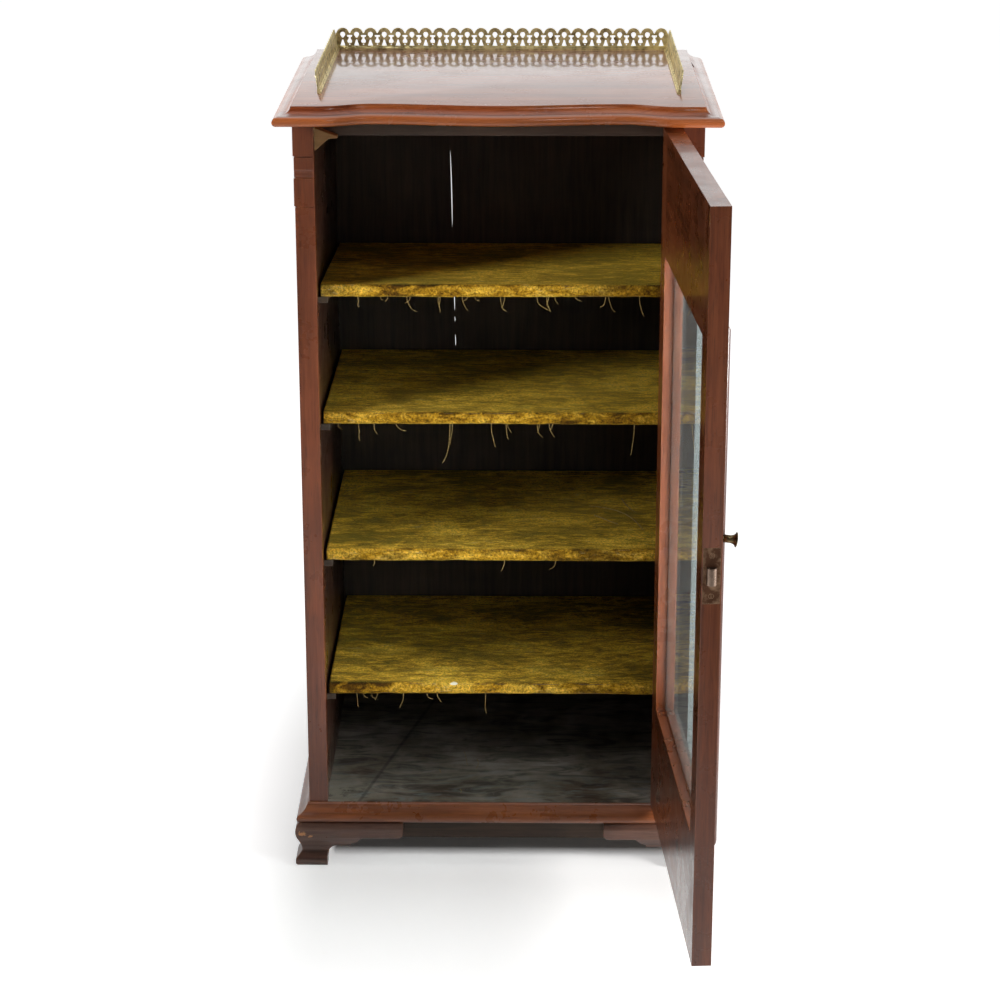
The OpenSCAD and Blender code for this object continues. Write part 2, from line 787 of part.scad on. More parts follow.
// The cloth over the top and the front edge of a shelf, turned under it
module shelf_cloth(i) {
  color(gold_cloth) at_shelf(i) translate([-shelf_half, 0, 0]) rotate([90, 0, 90]) linear_extrude(2 * shelf_half)
    difference() {
      union() {
        translate([cloth_r, 0]) square([cloth_under - cloth_r, cloth_r]);
        translate([cloth_r, cloth_r]) circle(cloth_r);
        translate([0, cloth_r]) square([cloth_r, cover_t - 2 * cloth_r]);
        translate([cloth_r, cover_t - cloth_r]) circle(cloth_r);
        translate([cloth_r, cover_t - cloth_r]) square([shelf_d - shelf_short - cloth_r, cloth_r]);
      }
      translate([cloth_t, cloth_t]) square([shelf_d, shelf_t]);
    }
}

bearer_front = 2;
// The batten under one end of a shelf, drawn at the left, stepped where the cloth is turned under
module bearer(i) {
  at_shelf(i) difference() {
    span([-side_in, bearer_front, -bearer_h], [-side_in + bearer_w, shelf_d - shelf_short - 1, cloth_t]);
    span([-case_w, -cut, -0.1], [case_w, cloth_under + 1, cloth_t + cut]);
  }
}

module shelf_bearers(s) {
  color(wood_dark) mirror([s > 0 ? 1 : 0, 0, 0]) for (i = [0 : 3]) bearer(i);
}

// Hinges

knuckle_h = hinge_h / knuckles;
knuckle_gap = 0.1;
// A leaf beside the pin's plane, on the side s, with the knuckles from first on, each second one
module leaf(s, first) {
  difference() {
    union() {
      difference() {
        translate([s > 0 ? leaf_face : -leaf_face - leaf_t, 0, 0]) cube([leaf_t, leaf_w, hinge_h]);
        for (k = [0 : knuckles - 1]) if (k % 2 != first) translate([0, 0, k * knuckle_h - knuckle_gap])
          cylinder(r = knuckle_r + 0.3, h = knuckle_h + 2 * knuckle_gap);
      }
      for (k = [first : 2 : knuckles - 1]) translate([0, 0, k * knuckle_h + knuckle_gap])
        cylinder(r = knuckle_r, h = knuckle_h - 2 * knuckle_gap);
    }
    translate([0, 0, -cut]) cylinder(r = hinge_pin_r + bore_gap, h = hinge_h + 2 * cut);
    leaf_screws(s) scale(sink_scale) screw_blank(leaf_screw_l);
  }
}

leaf_screw_l = 12;
// Places the three screws of a leaf, with their heads in its open face
module leaf_screws(s) {
  for (k = [-1, 0, 1]) translate([s * leaf_face, leaf_w * 0.55 + abs(k) * 2, hinge_h / 2 + k * hinge_h * 0.36])
    rotate([0, s > 0 ? -90 : 90, 0]) children();
}

module at_hinges() {
  for (z = hinge_zs) translate([pin_x, -pin_out, z - hinge_h / 2]) children();
}

module hinge_leaves_case() {
  color(brass) at_front() at_hinges() leaf(1, 0);
}

module hinge_leaves_door() {
  color(brass) swung() at_hinges() leaf(-1, 1);
}

module hinge_pins() {
  color(steel) at_front() at_hinges() cylinder(r = hinge_pin_r, h = hinge_h);
}

module case_screws() {
  color(brass_dull) at_front() {
    at_hinges() leaf_screws(1) screw(leaf_screw_l);
    at_strike_screws() screw(strike_screw_l);
  }
}

// Door

tenon_y = door_t - lip_t / 2;
// A mortise in a stile for a tenon between two heights
module mortise(x0, x1, z0, z1) {
  span([x0, tenon_y - tenon_t / 2 - fit_gap, z0 - fit_gap], [x1, tenon_y + tenon_t / 2 + fit_gap, z1 + fit_gap]);
}

tenon_in = 14;
module stile_rebate(x0, x1) {
  span([x0, -cut, pane_low - rebate_w], [x1, door_t - lip_t, pane_top + rebate_w]);
}

module door_stile_hinge() {
  color(wood) swung() difference() {
    span([pane_right, 0, door_low], [door_right, door_t, door_top]);
    stile_rebate(pane_right - cut, pane_right + rebate_w);
    mortise(pane_right - cut, pane_right + tenon_l + fit_gap, door_low + tenon_in, pane_low - tenon_in);
    mortise(pane_right - cut, pane_right + tenon_l + fit_gap, pane_top + tenon_in, door_top - tenon_in);
    for (z = hinge_zs) {
      translate([pin_x, -pin_out, z - hinge_h / 2 - 0.2]) cylinder(r = knuckle_r + 0.3, h = hinge_h + 0.4);
      translate([pin_x - leaf_face - leaf_t - 0.02, -cut, z - hinge_h / 2 - 0.2])
        cube([leaf_t + cut, leaf_w - pin_out + 0.2 + cut, hinge_h + 0.4]);
    }
    at_hinges() leaf_screws(-1) screw_hole(leaf_screw_l);
  }
}

lock_t = 14;
knob_x = door_left + knob_in;
module door_stile_lock() {
  color(wood) swung() difference() {
    span([door_left, 0, door_low], [pane_left, door_t, door_top]);
    stile_rebate(pane_left - rebate_w, pane_left + cut);
    mortise(pane_left - tenon_l - fit_gap, pane_left + cut, door_low + tenon_in, pane_low - tenon_in);
    mortise(pane_left - tenon_l - fit_gap, pane_left + cut, pane_top + tenon_in, door_top - tenon_in);
    translate([door_left - cut, plate_y - plate_w / 2 - 0.1, catch_z - plate_h / 2 - 0.1])
      cube([plate_t + cut, plate_w + 0.2, plate_h + 0.2]);
    translate([door_left, plate_y - lock_t / 2 - 0.1, catch_z - lock_h / 2 - 0.1])
      cube([plate_t + lock_d + 0.2, lock_t + 0.2, lock_h + 0.2]);
    at_plate_screws() screw_hole(plate_screw_l);
    translate([knob_x, -cut, knob_z]) rotate([-90, 0, 0]) cylinder(r = screw_r + 0.1, h = 16);
  }
}

// A rail between the stiles, with its tenons and the rebate on one edge
module rail(z0, z1, pane_edge, up) {
  difference() {
    union() {
      span([pane_left, 0, z0], [pane_right, door_t, z1]);
      span([pane_left - tenon_l, tenon_y - tenon_t / 2, z0 + tenon_in],
        [pane_right + tenon_l, tenon_y + tenon_t / 2, z1 - tenon_in]);
    }
    span([pane_left - cut, -cut, up ? pane_edge - rebate_w : pane_edge - cut],
      [pane_right + cut, door_t - lip_t, up ? pane_edge + cut : pane_edge + rebate_w]);
  }
}

module door_rail_top() {
  color(wood) swung() rail(pane_top, door_top, pane_top, false);
}

module door_rail_bottom() {
  color(wood) swung() rail(door_low, pane_low, pane_low, true);
}

pane_gap = 1;
module door_glass() {
  g = rebate_w - pane_gap;
  color([0.75, 0.85, 0.83, 0.35]) swung()
    span([pane_left - g, door_t - lip_t - glass_t, pane_low - g], [pane_right + g, door_t - lip_t, pane_top + g]);
}

bead_in = 5;
bead_back = door_t - lip_t - glass_t;
bead_front = bead_back + bead_proud;
bead_round = 7;
bead_ridge = 1.5;
bead_thin = 3;
// The section of the glazing moulding in (distance from the glass edge outwards, projection from the glass)
bead_section = concat(
  [[-bead_in, 0], [rebate_w - fit_gap, 0], [rebate_w - fit_gap, bead_back], [bead_w - bead_in, bead_back]],
  [for (k = [1 : edge_steps]) let(t = 90 * k / edge_steps)
    [bead_w - bead_in - bead_round * (1 - cos(t)), bead_back + bead_proud * sin(t)]],
  [[bead_ridge, bead_front]],
  [for (k = [1 : edge_steps]) let(t = 90 * k / edge_steps)
    [bead_ridge - (bead_in + bead_ridge) * sin(t), bead_front - (bead_front - bead_thin) * (1 - cos(t))]]
);

// A glazing moulding along X for a bottom edge, with its mitred ends, its glass face at y = 0
module bead_run(l) {
  reach = bead_w + cut;
  intersection() {
    translate([-reach, 0, 0]) rotate([90, 0, 90]) linear_extrude(l + 2 * reach)
      polygon([for (p = bead_section) [-p[1], -p[0]]]);
    translate([0, cut, 0]) rotate([90, 0, 0]) linear_extrude(bead_front + 2 * cut)
      polygon([[-reach, -reach], [l + reach, -reach], [l - bead_in - cut, bead_in + cut],
        [bead_in + cut, bead_in + cut]]);
  }
}

pane_w = pane_right - pane_left;
pane_h = pane_top - pane_low;
module door_moulding_bottom() {
  color(wood) swung() translate([pane_left, bead_back, pane_low]) bead_run(pane_w);
}

module door_moulding_top() {
  color(wood) swung() translate([pane_right, bead_back, pane_top]) rotate([0, 180, 0]) bead_run(pane_w);
}

module door_moulding_hinge() {
  color(wood) swung() translate([pane_right, bead_back, pane_low]) rotate([0, -90, 0]) bead_run(pane_h);
}

module door_moulding_lock() {
  color(wood) swung() translate([pane_left, bead_back, pane_top]) rotate([0, 90, 0]) bead_run(pane_h);
}

// Catch

wall = 1.4;
slot_gap = 0.12;
bolt_stop = 4;
tail_r = 2.5;
stop_x = door_left + plate_t + wall + 0.1;
shoulder_x = stop_x + 6;
tail_x = shoulder_x + 9;
bolt_x = door_left - bolt_out;

// Room for the bolt through the plate and the front of the case
module bolt_slot(x0, x1) {
  translate([x0, plate_y - nose_w / 2 - slot_gap, catch_z - bolt_h / 2 - slot_gap])
    cube([x1 - x0, nose_w + 2 * slot_gap, bolt_h + 2 * slot_gap]);
}

module latch_plate() {
  color(brass_dull) swung() difference() {
    translate([door_left, plate_y - plate_w / 2, catch_z - plate_h / 2]) cube([plate_t, plate_w, plate_h]);
    bolt_slot(door_left - cut, door_left + plate_t + cut);
    at_plate_screws() scale(sink_scale) screw_blank(plate_screw_l);
  }
}

module latch_case() {
  x0 = door_left + plate_t;
  color(brass_dull) swung() difference() {
    translate([x0, plate_y - lock_t / 2, catch_z - lock_h / 2]) cube([lock_d, lock_t, lock_h]);
    translate([x0 + wall, plate_y - lock_t / 2 + wall, catch_z - lock_h / 2 + wall])
      cube([lock_d - 2 * wall, lock_t - 2 * wall, lock_h - 2 * wall]);
    bolt_slot(x0 - cut, x0 + wall + cut);
  }
}

// The sprung bolt, with a nose that is half round seen from above, and a round tail
module latch_bolt() {
  r = nose_w / 2;
  color(brass) swung() union() {
    intersection() {
      translate([bolt_x + r, plate_y, catch_z - bolt_h / 2]) cylinder(r = r, h = bolt_h, $fn = 64);
      translate([bolt_x - cut, plate_y - r, catch_z - bolt_h / 2]) cube([r + cut, nose_w, bolt_h]);
    }
    translate([bolt_x + r - e, plate_y - r, catch_z - bolt_h / 2])
      cube([shoulder_x - bolt_x - r + e, nose_w, bolt_h]);
    translate([stop_x, plate_y - r, catch_z - bolt_h / 2 - bolt_stop])
      cube([shoulder_x - stop_x, nose_w, bolt_h + 2 * bolt_stop]);
    translate([shoulder_x - e, plate_y, catch_z]) rotate([0, 90, 0]) cylinder(r = tail_r, h = tail_x - shoulder_x);
  }
}

// The spring: a wire wound round the tail, from the bolt's shoulder to the back of the case
spring_r = 4;
wire_r = 0.45;
coil_turns = 8;
ring_n = 10;
wire_n = 6;
spring_x0 = shoulder_x + 0.5;
spring_x1 = door_left + plate_t + lock_d - wall - 0.5;

function coil_point(t) =
  let(a = 360 * coil_turns * t)
  [spring_x0 + (spring_x1 - spring_x0) * t, plate_y + spring_r * cos(a), catch_z + spring_r * sin(a)];

function coil_ring(t) =
  let(a = 360 * coil_turns * t)
  [for (j = [0 : wire_n - 1]) let(b = 360 * j / wire_n)
    coil_point(t) + [wire_r * sin(b), wire_r * cos(b) * cos(a), wire_r * cos(b) * sin(a)]];

module latch_spring() {
  n = coil_turns * ring_n;
  pts = [for (i = [0 : n]) each coil_ring(i / n)];
  walls = [for (i = [0 : n - 1]) for (j = [0 : wire_n - 1]) let(k = (j + 1) % wire_n) each [
    [i * wire_n + j, (i + 1) * wire_n + k, i * wire_n + k],
    [i * wire_n + j, (i + 1) * wire_n + j, (i + 1) * wire_n + k]]];
  ends = [[for (j = [0 : wire_n - 1]) j], [for (j = [wire_n - 1 : -1 : 0]) n * wire_n + j]];
  color(steel) swung() polyhedron(pts, concat(walls, ends));
}

module strike_plate() {
  color(brass_dull) at_front() difference() {
    translate([-strip_in - strike_t, plate_y - strike_w / 2, catch_z - plate_h / 2])
      cube([strike_t, strike_w, plate_h]);
    strike_room(strike_pocket, nose_w + pocket_gap, bolt_h + 3 * pocket_gap);
    at_strike_screws() scale(sink_scale) screw_blank(strike_screw_l);
  }
}

module door_screws() {
  color(brass_dull) swung() {
    at_hinges() leaf_screws(-1) screw(leaf_screw_l);
    at_plate_screws() screw(plate_screw_l);
  }
}

// Knob

rose_r = 6;
rose_t = 1.5;
rose_hole = screw_r + 0.15;
module knob_rose() {
  color(brass_dull) swung() translate([knob_x, 0, knob_z]) rotate([90, 0, 0]) rotate_extrude()
    polygon([[rose_hole, 0], [rose_r, 0], [rose_r, rose_t / 2], [rose_r - rose_t / 2, rose_t],
      [rose_hole, rose_t]]);
}

flare_steps = 8;
module knob() {
  neck_l = rose_t + 2;
  stem_l = knob_l * 0.55;
  profile = concat(
    [[0, neck_l], [knob_stem_r - 0.8, neck_l], [knob_stem_r, neck_l + 0.8], [knob_stem_r, stem_l]],
    [for (k = [1 : flare_steps]) let(t = 90 * k / flare_steps)
      [knob_stem_r + (knob_r - knob_stem_r) * (1 - cos(t)), stem_l + (knob_l - 1.2 - stem_l) * sin(t)]],
    [[knob_r, knob_l - 0.4], [knob_r - 1.2, knob_l], [knob_r - 3, knob_l - 0.6], [0, knob_l]]
  );
  color(brass) swung() union() {
    translate([knob_x, 0, knob_z]) rotate([90 + knob_droop, 0, 0]) rotate_extrude() polygon(profile);
    translate([knob_x, 12, knob_z]) rotate([90, 0, 0]) cylinder(r = screw_r, h = 12 + neck_l + 0.7);
  }
}

module side_left() side(-1);
module side_right() side(1);
module gallery_left() gallery_side(-1);
module gallery_right() gallery_side(1);
module base_moulding_left() base_moulding_side(-1);
module base_moulding_right() base_moulding_side(1);
module foot_front_left() color(wood) at_front() foot_front(wing_left);
module foot_front_right() color(wood) at_front() mirror([1, 0, 0]) foot_front(wing_right);
module foot_front_left_return() color(wood) at_front() mirror([1, 0, 0]) foot_return(wing_side);
module foot_front_right_return() color(wood) at_front() foot_return(wing_side);
module foot_back_left_return() color(wood) at_front() mirror([1, 0, 0]) foot_back_return(wing_side);
module foot_back_right_return() color(wood) at_front() foot_back_return(wing_side);

top_board();
top_back_board();
gallery_back();
gallery_left();
gallery_right();
gallery_pins();
side_left();
side_right();
front_strip_left();
front_strip_right();
bottom_board();
top_rail();
corner_block();
back_board_left();
back_board_middle();
back_board_right();
back_nails();
plinth_rail();
base_moulding_front();
base_moulding_left();
base_moulding_right();
foot_front_left();
foot_front_left_return();
foot_front_right();
foot_front_right_return();
foot_back_left_return();
foot_back_right_return();
foot_back_brackets();
foot_blocks();
shelf(0);  // shelf_1
shelf(1);  // shelf_2
shelf(2);  // shelf_3
shelf(3);  // shelf_4
shelf_cloth(0);  // shelf_cloth_1
shelf_cloth(1);  // shelf_cloth_2
shelf_cloth(2);  // shelf_cloth_3
shelf_cloth(3);  // shelf_cloth_4
shelf_bearers(-1);  // shelf_bearers_left
shelf_bearers(1);  // shelf_bearers_right
hinge_leaves_case();
hinge_pins();
case_screws();
strike_plate();
door_stile_hinge();
door_stile_lock();
door_rail_top();
door_rail_bottom();
door_glass();
door_moulding_top();
door_moulding_bottom();
door_moulding_hinge();
door_moulding_lock();
hinge_leaves_door();
door_screws();
latch_case();
latch_plate();
knob();
knob_rose();
latch_bolt();
latch_spring();
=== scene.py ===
"""Music roll cabinet: polished mahogany, aged brass, worn gold velvet and glass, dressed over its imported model."""
import math
import bmesh
import bpy
import numpy as np
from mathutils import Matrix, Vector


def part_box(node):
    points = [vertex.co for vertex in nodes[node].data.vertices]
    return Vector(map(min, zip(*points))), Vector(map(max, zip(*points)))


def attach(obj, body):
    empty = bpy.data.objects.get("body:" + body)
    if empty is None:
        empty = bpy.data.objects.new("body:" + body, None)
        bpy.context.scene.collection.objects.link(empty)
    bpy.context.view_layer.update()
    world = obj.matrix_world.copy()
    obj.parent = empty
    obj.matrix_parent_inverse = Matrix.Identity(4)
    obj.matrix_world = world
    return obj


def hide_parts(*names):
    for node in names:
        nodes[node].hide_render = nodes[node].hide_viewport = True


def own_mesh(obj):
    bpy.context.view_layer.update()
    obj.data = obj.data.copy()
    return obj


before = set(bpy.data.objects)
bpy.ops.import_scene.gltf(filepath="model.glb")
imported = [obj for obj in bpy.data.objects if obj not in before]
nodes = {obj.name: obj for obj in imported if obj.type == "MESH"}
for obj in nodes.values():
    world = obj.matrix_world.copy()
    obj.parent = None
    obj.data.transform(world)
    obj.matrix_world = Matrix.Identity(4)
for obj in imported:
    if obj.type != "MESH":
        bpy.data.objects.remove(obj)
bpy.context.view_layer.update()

MM = 0.001


# ---------------------------------------------------------------- finishes
# A noise of scale s has features about 1000 / s millimetres wide; the comments beside the scales give that width.

GRAIN = {"x": (0.05, 1, 1), "y": (1, 0.05, 1), "z": (1, 1, 0.05)}      # a figure twenty times longer along one axis


def hexed(code):
    """An sRGB hex colour as linear RGBA."""
    c = np.array([int(code[i:i + 2], 16) for i in (1, 3, 5)]) / 255
    c = np.where(c <= 0.04045, c / 12.92, ((c + 0.055) / 1.055) ** 2.4)
    return (*c.tolist(), 1.0)


def grey(v):
    """A grey for a ramp."""
    return (v, v, v, 1.0)


def add(tree, kind, ins=None, stops=None, **settings):
    """Adds one shader node. ins maps its sockets to values or to what feeds them, stops fills a colour ramp."""
    node = tree.nodes.new("ShaderNode" + kind)
    for key, value in settings.items():
        setattr(node, key, value)
    for key, value in (ins or {}).items():
        if isinstance(value, bpy.types.Node):
            value = value.outputs[0]
        if isinstance(value, bpy.types.NodeSocket):
            tree.links.new(value, node.inputs[key])
        else:
            node.inputs[key].default_value = value
    for i, (at, colour) in enumerate(stops or []):
        stop = node.color_ramp.elements[i] if i < 2 else node.color_ramp.elements.new(at)
        stop.position, stop.color = at, colour
    return node


def new_finish(name):
    """An empty material with its output and its Object coordinates."""
    m = bpy.data.materials.new(name)
    m.use_nodes = True
    m.node_tree.nodes.clear()
    return m, m.node_tree, add(m.node_tree, "OutputMaterial"), add(m.node_tree, "TexCoord").outputs["Object"]


def blotch(t, at, ragged, place, size):
    """A spot round a place, 0 outside and 1 inside: the distance from the place, counted in sizes, less half of a
    noise that frays its edge."""
    near = add(t, "VectorMath", {0: at, 1: place}, operation="SUBTRACT")
    near = add(t, "VectorMath", {0: near, 1: [1 / v for v in size]}, operation="MULTIPLY")
    near = add(t, "VectorMath", {0: near}, operation="LENGTH")
    near = add(t, "Math", {0: ragged, 1: -0.5, 2: near.outputs["Value"]}, operation="MULTIPLY_ADD")
    return add(t, "MapRange", {"Value": near, "From Min": 0.8, "From Max": 0.6})


def mahogany(name, grain, dark, mid, light, gloss, coat, wear, shift=0.0, dust_and_sheen=0.0, chips=(), inner=0.0, nosing=0.0):
    """French polished mahogany, sawn along grain: a ribbon figure about 30 mm wide, streaks about 4 mm wide
    and short dark pores, under a thin polish that has rubbed pale along the arrises.
    gloss is its roughness, coat the weight of the polish, wear how far the arrises are rubbed, and shift moves the
    figure on from board to board. dust_and_sheen is the pale grey on flat tops, part dust and part painted sheen in
    place of their polish's reflection; these tops alone keep the full polish. chips are places, each with its size,
    where the surface has broken away to bare orange wood. inner is how far from the middle the faces end that were
    stained dark and never polished, and that are darkened further as painted shade of the inside of the case. nosing
    is the height below which the nose of the top is painted lighter orange: painted light where it faces the lamps."""
    ribbons, streaks, pits = 34.0, 240.0, 800.0              # 30, 4 and 1.3 mm
    tones, rubs, smears = 7.0, 120.0, 22.0                   # 140, 8 and 45 mm
    # after the rubbed arrises: the nose's painted light, the pale grey of dust and painted sheen, the chips, and the
    # inner faces' dark stain deepened as painted shade
    rubbed, nose_lit_colour, dust_sheen_colour, chip_colour, stain = "#a5673f", "#c8713c", "#a8a19c", "#d2935c", "#231c15"
    m, t, out, at = new_finish(name)
    run = add(t, "Mapping", {"Vector": at, "Scale": GRAIN[grain], "Location": (shift, shift * 0.7, shift * 1.3)})
    ribbon = add(t, "TexNoise", {"Vector": run, "Scale": ribbons, "Detail": 3.0, "Roughness": 0.5, "Distortion": 0.5})
    streak = add(t, "TexNoise", {"Vector": run, "Scale": streaks, "Detail": 4.0, "Roughness": 0.62})
    pore = add(t, "TexNoise", {"Vector": run, "Scale": pits, "Detail": 2.0, "Roughness": 0.5})
    both = add(t, "Math", {0: ribbon.outputs["Fac"], 1: 0.55}, operation="MULTIPLY")
    both = add(t, "Math", {0: streak.outputs["Fac"], 1: 0.45, 2: both}, operation="MULTIPLY_ADD")
    body = add(t, "ValToRGB", {"Fac": both}, stops=[(0.36, hexed(dark)), (0.66, hexed(light)), (0.5, hexed(mid))])
    pores = add(t, "ValToRGB", {"Fac": pore.outputs["Fac"]}, stops=[(0.30, grey(0.66)), (0.44, grey(1.0))])
    body = add(t, "Mix", {"Factor": 1.0, 6: body, 7: pores}, data_type="RGBA", blend_type="MULTIPLY")
    broad = add(t, "TexNoise", {"Vector": at, "Scale": tones, "Detail": 3.0, "Roughness": 0.6})
    tone = add(t, "ValToRGB", {"Fac": broad.outputs["Fac"]}, stops=[(0.32, grey(0.8)), (0.68, grey(1.18))])
    body = add(t, "Mix", {"Factor": 1.0, 6: body.outputs[2], 7: tone}, data_type="RGBA", blend_type="MULTIPLY")

    # an arris is where the normal rounded over 2.2 mm leaves the true one; the polish goes there in patches
    soft = add(t, "Bevel", {"Radius": 2.2 * MM}, samples=4)
    flat = add(t, "NewGeometry").outputs["Normal"]
    turn = add(t, "VectorMath", {0: soft, 1: flat}, operation="DOT_PRODUCT")
    rub = add(t, "MapRange", {"Value": turn.outputs["Value"], "From Min": 0.985, "From Max": 0.86,
                              "To Min": 0.0, "To Max": wear})
    patch = add(t, "TexNoise", {"Vector": at, "Scale": rubs, "Detail": 5.0, "Roughness": 0.7})
    patch = add(t, "MapRange", {"Value": patch.outputs["Fac"], "From Min": 0.42, "From Max": 0.62})
    rub = add(t, "Math", {0: rub, 1: patch}, operation="MULTIPLY")
    body = add(t, "Mix", {"Factor": rub, 6: body.outputs[2], 7: hexed(rubbed)}, data_type="RGBA")

    smear = add(t, "TexNoise", {"Vector": at, "Scale": smears, "Detail": 4.0, "Roughness": 0.65})
    rough = add(t, "MapRange", {"Value": smear.outputs["Fac"], "From Min": 0.3, "From Max": 0.7,
                                "To Min": gloss - 0.07, "To Max": gloss + 0.12})
    raised = add(t, "Math", {0: pores, 1: streak.outputs["Fac"]}, operation="MULTIPLY")
    bump = add(t, "Bump", {"Height": raised, "Strength": 0.16, "Distance": 0.3 * MM})
    # painted light: the nose, which faces the lamps, turns lighter orange below its top
    if nosing:
        nose_light = add(t, "MapRange", {"Value": add(t, "SeparateXYZ", {0: at}).outputs["Z"],
                                    "From Min": nosing + 0.8 * MM, "From Max": nosing - 0.6 * MM, "To Max": 0.62})
        body = add(t, "Mix", {"Factor": nose_light, 6: body.outputs[2], 7: hexed(nose_lit_colour)}, data_type="RGBA")
    # pale grey on the flat tops: dust, and painted sheen in place of the polish's reflection
    if dust_and_sheen:
        up = add(t, "SeparateXYZ", {0: flat}).outputs["Z"]
        coat = add(t, "MapRange", {"Value": up, "From Min": 0.9, "From Max": 0.98, "To Min": 0.15, "To Max": coat})
        dust = add(t, "MapRange", {"Value": up, "From Min": 0.93, "From Max": 0.99, "To Max": dust_and_sheen})
        body = add(t, "Mix", {"Factor": dust, 6: body.outputs[2], 7: hexed(dust_sheen_colour)}, data_type="RGBA")
    for place, size in chips:
        chip = blotch(t, at, patch, place, size)
        body = add(t, "Mix", {"Factor": chip, 6: body.outputs[2], 7: hexed(chip_colour)}, data_type="RGBA")
    # painted shade: the inner faces of the sides go nearly black, a dark stain deepened to the shade inside the case
    if inner:
        deep = add(t, "Math", {0: add(t, "SeparateXYZ", {0: at})}, operation="ABSOLUTE")
        deep = add(t, "MapRange", {"Value": deep, "From Min": inner, "From Max": inner - 0.3 * MM, "To Max": 0.85})
        body = add(t, "Mix", {"Factor": deep, 6: body.outputs[2], 7: hexed(stain)}, data_type="RGBA")
    skin = add(t, "BsdfPrincipled", {"Base Color": body.outputs[2], "Roughness": rough, "Normal": bump,
                                     "Coat Weight": coat, "Coat Roughness": 0.06, "IOR": 1.5})
    t.links.new(skin.outputs[0], out.inputs["Surface"])
    return m


def stained(name, grain, dark, light, rough=0.62):
    """Dark stained softwood, sawn and never polished: dull, with a coarse grain about 5 mm wide."""
    streaks, tones = 190.0, 9.0                              # 5 and 110 mm
    m, t, out, at = new_finish(name)
    run = add(t, "Mapping", {"Vector": at, "Scale": GRAIN[grain]})
    streak = add(t, "TexNoise", {"Vector": run, "Scale": streaks, "Detail": 5.0, "Roughness": 0.65, "Distortion": 0.4})
    broad = add(t, "TexNoise", {"Vector": at, "Scale": tones, "Detail": 3.0})
    both = add(t, "Math", {0: streak.outputs["Fac"], 1: broad.outputs["Fac"]}, operation="ADD")
    body = add(t, "ValToRGB", {"Fac": add(t, "Math", {0: both, 1: 0.5}, operation="MULTIPLY")},
               stops=[(0.36, hexed(dark)), (0.66, hexed(light))])
    bump = add(t, "Bump", {"Height": streak.outputs["Fac"], "Strength": 0.25, "Distance": 0.4 * MM})
    skin = add(t, "BsdfPrincipled", {"Base Color": body, "Roughness": rough, "Normal": bump})
    t.links.new(skin.outputs[0], out.inputs["Surface"])
    return m


def dusty_floor(name):
    """The stained floor board under years of dust: a grey green bloom, dark drag marks along it, pale grey patches
    towards the front that fade out behind as painted light falling in at the front, a paler patch with a torn edge in
    the front left corner, and one dark slanting scratch from there to the back."""
    drags, blooms, grits, lit_patches, tears = 48.0, 11.0, 520.0, 46.0, 90.0          # 21, 90, 2, 22 and 11 mm
    pale_patch_at = (-0.2, 0.045, 0.083)
    across, behind = (0.97, -0.245, 0.0), 0.1764             # the scratch is where across . place = -behind
    m, t, out, at = new_finish(name)
    run = add(t, "Mapping", {"Vector": at, "Scale": (0.3, 1, 1)})
    drag = add(t, "TexNoise", {"Vector": run, "Scale": drags, "Detail": 6.0, "Roughness": 0.6, "Distortion": 1.6})
    bloom = add(t, "TexNoise", {"Vector": at, "Scale": blooms, "Detail": 5.0, "Roughness": 0.62})
    grit = add(t, "TexNoise", {"Vector": at, "Scale": grits, "Detail": 3.0, "Roughness": 0.7})
    body = add(t, "ValToRGB", {"Fac": bloom.outputs["Fac"]},
               stops=[(0.34, hexed("#5f5344")), (0.68, hexed("#9c9488")), (0.5, hexed("#7c7568"))])
    scrape = add(t, "ValToRGB", {"Fac": drag.outputs["Fac"]}, stops=[(0.36, grey(0.35)), (0.56, grey(1.15))])
    body = add(t, "Mix", {"Factor": 0.95, 6: body, 7: scrape}, data_type="RGBA", blend_type="MULTIPLY")

    # painted light: pale grey patches towards the front that fade out behind, where less light falls in
    near = add(t, "SeparateXYZ", {0: at}).outputs["Y"]
    near = add(t, "MapRange", {"Value": near, "From Min": 0.16, "From Max": 0.05})
    pale = add(t, "TexNoise", {"Vector": run, "Scale": lit_patches, "Detail": 7.0, "Roughness": 0.62, "Distortion": 2.2})
    pale = add(t, "MapRange", {"Value": pale.outputs["Fac"], "From Min": 0.5, "From Max": 0.68, "To Max": 0.75})
    pale = add(t, "Math", {0: pale, 1: near}, operation="MULTIPLY")
    body = add(t, "Mix", {"Factor": pale, 6: body.outputs[2], 7: hexed("#7f8886")}, data_type="RGBA")

    # a paler patch with a torn edge in the front left corner
    pale_patch = add(t, "VectorMath", {0: at, 1: pale_patch_at}, operation="DISTANCE").outputs["Value"]
    pale_patch = add(t, "MapRange", {"Value": pale_patch, "From Min": 0.045, "From Max": 0.012, "To Max": 0.8})
    torn = add(t, "TexNoise", {"Vector": at, "Scale": tears, "Detail": 5.0, "Roughness": 0.7})
    torn = add(t, "MapRange", {"Value": torn.outputs["Fac"], "From Min": 0.42, "From Max": 0.5})
    pale_patch = add(t, "Math", {0: pale_patch, 1: torn}, operation="MULTIPLY")
    body = add(t, "Mix", {"Factor": pale_patch, 6: body.outputs[2], 7: hexed("#8a8778")}, data_type="RGBA")

    split = add(t, "VectorMath", {0: at, 1: across}, operation="DOT_PRODUCT")
    split = add(t, "Math", {0: split.outputs["Value"], 1: behind}, operation="ADD")
    split = add(t, "Math", {0: split}, operation="ABSOLUTE")
    split = add(t, "MapRange", {"Value": split, "From Min": 1.2 * MM, "From Max": 3.2 * MM,
                                "To Min": 0.55, "To Max": 1.0})
    body = add(t, "Mix", {"Factor": 1.0, 6: body.outputs[2], 7: split}, data_type="RGBA", blend_type="MULTIPLY")
    bump = add(t, "Bump", {"Height": grit.outputs["Fac"], "Strength": 0.3, "Distance": 0.3 * MM})
    skin = add(t, "BsdfPrincipled", {"Base Color": body.outputs[2], "Roughness": 0.75, "Normal": bump})
    t.links.new(skin.outputs[0], out.inputs["Surface"])
    return m


